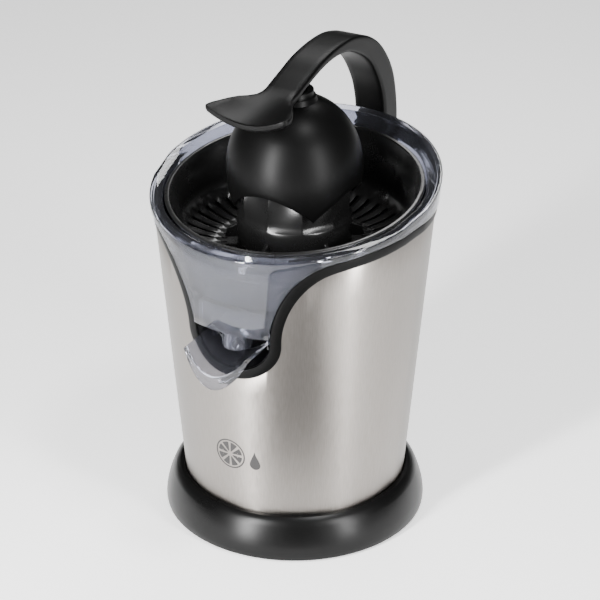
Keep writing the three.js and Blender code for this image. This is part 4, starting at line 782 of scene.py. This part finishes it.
def make_arm():
    """Lever arm with a rounded section, from the hinge eye over the crest to the fish-tail thumb rest."""
    y, z = HINGE_Y, HINGE_Z
    crest = ARM_CREST
    outer = smooth_path([(y + 10, z), (y + 10.8, z + 28), (y + 4, z + 57), (y - 11, crest - 25.5),
                         (y - 30, crest - 10.5), (y - 54, crest - 1.8), (44, crest), (19.6, crest - 2.3),
                         (0, crest - 7.5), (-18, crest - 12.8)], 7)
    inner = smooth_path([(y - 10, z), (y - 10, z + 26), (y - 12, z + 42), (y - 19, z + 59),
                         (y - 35, crest - 25.5),
                         (60, crest - 11), (40, crest - 7.1), (20, crest - 8.3), (0, crest - 13),
                         (-18, crest - 19)], 7)
    stations = []
    for i in range(1, 10):
        a = math.radians(90 - 9 * i)
        w, drop = 10 * math.cos(a), 10 * math.sin(a)
        stations.append(((y + w, z - drop), (y - w, z - drop), 12, 0))
    stations += [(tuple(o), tuple(n), 12, 0) for o, n in zip(outer, inner)]
    tail = ((-23, 12.3, 13.7, 0.3, 6.2), (-28, 13.6, 14.6, 1.0, 6.2), (-34, 16.6, 15.4, 2.6, 6.2),
            (-40, 20.3, 16.2, 4.6, 6.1), (-46, 23.8, 17.1, 5.8, 6.0), (-52, 26.7, 18.0, 6.8, 5.9),
            (-57, 28.9, 18.6, 7.6, 5.8), (-61, 29.9, 19.0, 8.2, 5.6), (-64, 29.7, 19.2, 8.5, 5.0),
            (-65.4, 28.6, 19.4, 8.4, 4.0), (-66, 27.2, 19.8, 8.0, 2.6))
    for py, half, drop, curl, thick in tail:
        stations.append(((py, crest - drop), (py, crest - drop - thick), half, curl))
    rows = []
    for top, under, half, curl in stations:
        top, under = Vector(top), Vector(under)
        thick = (top - under).length
        way = (top - under).normalized()
        middle = (top + under) / 2
        ring = []
        for k in range(40):
            part = k // 10
            t = (k % 10) / 10
            corners = [(-half, -thick / 2), (half, -thick / 2), (half, thick / 2), (-half, thick / 2)]
            a, b = corners[part], corners[(part + 1) % 4]
            soft = 0.5 - 0.5 * math.cos(math.pi * t) if part % 2 == 0 else t
            x, w = a[0] + (b[0] - a[0]) * soft, a[1] + (b[1] - a[1]) * soft
            fillet = min(2.2, thick * 0.4)
            dx, dw = half - abs(x), thick / 2 - abs(w)
            if dx < fillet and dw < fillet:
                cx, cw = fillet - dx, fillet - dw
                scale = fillet / max(math.hypot(cx, cw), fillet)
                x = math.copysign(half - fillet + cx * scale, x)
                w = math.copysign(thick / 2 - fillet + cw * scale, w)
            spot = middle + way * w
            ring.append((x, spot.x, spot.y + curl * (x / half) ** 2))
        rows.append(ring)
    shell = skin("lever_arm_shell", rows, ring_rows=False, capped=True)
    fit_out(shell, SATIN_ABS, "lever", "satin_black_abs", "lever_arm")
    stud = bar("dome_stud", "z", 7.4, (0, 0), RIM_Z + 52.8, crest - 14, 0.6)
    fit_out(stud, SATIN_ABS, "lever", "satin_black_abs")


def make_bracket():
    """Hinge bracket behind the sleeve: a web and two cheeks, with the pin's ends outside them."""
    y, z = HINGE_Y, HINGE_Z
    low = z - 50
    near = lambda height: sleeve_r(height) - SLEEVE_WALL + 0.4
    top = [(y + 9 * math.cos(math.radians(15 * k)),
            z + 9 * math.sin(math.radians(15 * k))) for k in range(13)]
    side = [(near(low), low), (y - 14, low + 3), (y + 5, low + 24), (y + 9, z - 14)] + top + [
        (near(z) + 1.4, z - 6), (near(z - 14), z - 14)]
    web = side[:4] + [(y + 8.4, z - 11.2), (near(z - 11), z - 11.2)]
    fit_out(plate("hinge_web", web, "x", -12.2, 12.2, 0.2, 1.5), SATIN_ABS, "root", "satin_black_abs",
            "hinge_bracket")
    for x, name in ((-16.9, "hinge_cheek_left"), (12.3, "hinge_cheek_right")):
        fit_out(plate(name, side, "x", x, x + 4.6, 0.8, 2.5), SATIN_ABS, "root", "satin_black_abs")
    pin = bar("hinge_pin_ends", "x", 3, (y, z), HINGE_LOW.x, HINGE_HIGH.x, 0.5)
    fit_out(pin, TURNED_STEEL, "root", "turned_steel", "hinge_pin")


def make_foot():
    """Base foot: a flared lathe shape with a narrow groove at the sleeve and two faint creases."""
    r = FOOT_HIGH.x
    rise = FOOT_LOW.z
    profile = [(r - 13.2, 30.4), (r - 12.6, 30.6), (r - 11.6, 30.5), (r - 10.2, 30.2), (r - 8.6, 29.1),
               (r - 7.0, 27.5),
               (r - 5.6, 25.4), (r - 5.2, 24.6), (r - 4.0, 21.8), (r - 2.8, 18.6), (r - 1.5, 14.4),
               (r - 0.75, 11.2),
               (r - 0.6, 10.4), (r - 0.15, 7.4), (r, 5), (r - 0.1, 3.2), (r - 0.35, 2), (r - 0.9, rise),
               (r - 7.6, rise),
               (r - 8, 5.4), (r - 11, 9), (r - 19.4, 18.5), (r - 19.4, 21.6), (r - 14.3, 21.7),
               (r - 13.6, 29.6)]
    return fit_out(turned("foot_shell", profile, sharp=18), BLACK_ABS, "root", "black_abs", "base_foot")


def make_rubber_feet():
    """Four rubber feet: a dished pad below the cover, on a stem that plugs into it."""
    low, high = span("rubber_foot_1")
    r, stem, lift, pad = (high.y - low.y) / 2, 2.55, high.z, 1.2
    middle = (low + high) / 2
    profile = [(0, lift), (stem - 0.3, lift), (stem, lift - 0.3), (stem, pad), (r - 0.6, pad),
               (r - 0.15, pad - 0.2),
               (r, pad - 0.5), (r - 0.15, 0.25), (r - 0.8, 0), (r - 2, 0), (r - 2.6, 0.4), (0, 0.4)]
    feet = round_the_axis(turned("rubber_feet", profile, facets=64), BLACK_RUBBER, 4, middle.xy.length, 45)
    names = [f"rubber_foot_{k + 1}" for k in range(4)]
    return fit_out(feet, BLACK_RUBBER, "root", "black_rubber", *names)


def make_mark():
    """Thin printed mark on the sleeve's front: a plain round slice in eight segments, and a drop."""
    points, faces = [], []

    def ink(outline):
        """One inked patch: its outline wrapped on the sleeve, in two layers with a side wall."""
        start, count = len(points), len(outline)
        for lift in (0.02, 0.07):
            for u, v in outline:
                z = 73 + v
                points.append(polar(sleeve_r(z) + lift, u / sleeve_r(z), z))
        faces.append(tuple(range(start, start + count)))
        faces.append(tuple(range(start + count, start + 2 * count))[::-1])
        for i in range(count):
            n = (i + 1) % count
            faces.append((start + i, start + n, start + count + n, start + count + i))

    for k in range(24):
        ink(arc(-6, 0, 11.4, 11.4, 15 * k, 15 * k + 15, 3) + arc(-6, 0, 10.4, 10.4, 15 * k + 15, 15 * k, 3))
    for k in range(8):
        inner = arc(-6, 0, 2.2, 2.2, 45 * k + 14, 45 * k + 31, 1)
        outer = arc(-6, 0, 9.3, 9.3, 45 * k + 39, 45 * k + 6, 6)
        ink(eased(inner + outer, 0.9))
    ink(arc(12.5, -4.5, 3.8, 3.8, -200, 20, 14) + bezier((16, -3), (15, 0.5), (13.2, 2.5), (12.5, 6), 5)[1:]
        + bezier((12.5, 6), (11.8, 2.5), (10, 0.5), (9, -3), 5)[1:-1])
    return fit_out(outward(piece_from("printed_mark", points, faces)), PRINT_INK, "root", "satin_black_abs")


make_sleeve()
make_mark()
make_trim()
make_housing()
make_collector()
make_nozzle()
make_chute()
make_basket()
make_reamer()
make_dome()
make_arm()
make_bracket()
make_foot()
make_rubber_feet()

# ---- Carried-over CAD pieces ---------------------------------------------------------------------
for part in frame["record"]["subparts"]:
    carried = frame["nodes"][part["node"]]
    carried.data.materials.clear()
    carried.data.materials.append(SLOT_FINISH[part["material_slot"]])

# ---- Floor, light and camera ---------------------------------------------------------------------
bpy.ops.mesh.primitive_plane_add(size=6)
floor = bpy.context.object
floor.name = "pale_floor"
paper, tree, shader = finish("pale_floor_paper", Roughness=0.95, Emission_Strength=0.88)
shader.inputs["Emission Color"].default_value = (1, 1, 1, 1)
weave = node(tree, "ShaderNodeTexNoise", {"Vector": place(tree), "Scale": 300.0})
tint(tree, shader, weave.outputs["Fac"], "#f0f0f0", "#f6f6f6")
floor.data.materials.append(paper)

world = bpy.context.scene.world or bpy.data.worlds.new("studio")
bpy.context.scene.world = world
world.use_nodes = True
world.node_tree.nodes["Background"].inputs["Color"].default_value = (1, 1, 1, 1)
world.node_tree.nodes["Background"].inputs["Strength"].default_value = 0.06


def softbox(name, place_m, aim_m, width, height, power):
    """A rectangular studio light that looks at a point."""
    light = bpy.data.lights.new(name, "AREA")
    light.shape, light.size, light.size_y, light.energy = "RECTANGLE", width, height, power
    holder = bpy.data.objects.new(name, light)
    bpy.context.scene.collection.objects.link(holder)
    holder.location = place_m
    holder.rotation_euler = (Vector(aim_m) - Vector(place_m)).to_track_quat("-Z", "Y").to_euler()


softbox("strip_left", (-0.19, -0.93, 0.42), (0, 0, 0.12), 0.085, 0.85, 36)
softbox("strip_right", (0.92, -0.30, 0.42), (0, 0, 0.12), 0.12, 0.85, 16)
softbox("overhead_back", (-0.25, 0.75, 1.1), (0, 0, 0.22), 0.5, 0.3, 6)
softbox("overhead", (0.42, -0.12, 1.25), (0, 0, 0.28), 0.2, 0.2, 7)

# A grey flag on the floor in front, seen only in reflections: it darkens the steel between the strips.
bpy.ops.mesh.primitive_plane_add(size=1, location=(0.16, -0.29, 0.002), rotation=(0, 0, math.radians(28.3)))
flag = bpy.context.object
flag.name = "studio_flag"
flag.scale = (0.26, 0.34, 1)
felt, tree, shader = finish("flag_felt", Roughness=1.0, Specular_IOR_Level=0.0)
nap = node(tree, "ShaderNodeTexNoise", {"Vector": place(tree), "Scale": 400.0})
tint(tree, shader, nap.outputs["Fac"], "#585858", "#646464")
flag.data.materials.append(felt)
flag.visible_camera = flag.visible_shadow = flag.visible_diffuse = flag.visible_transmission = False

lens = bpy.data.cameras.new("product_view")
lens.lens, lens.sensor_width = 134.3, 36
camera = bpy.data.objects.new("product_view", lens)
bpy.context.scene.collection.objects.link(camera)
camera.location = (0.64513, -1.19625, 0.84976)
view_way = Vector((0.00313, 0.00168, 0.15385)) - camera.location
camera.rotation_euler = view_way.to_track_quat("-Z", "Y").to_euler()
bpy.context.scene.camera = camera
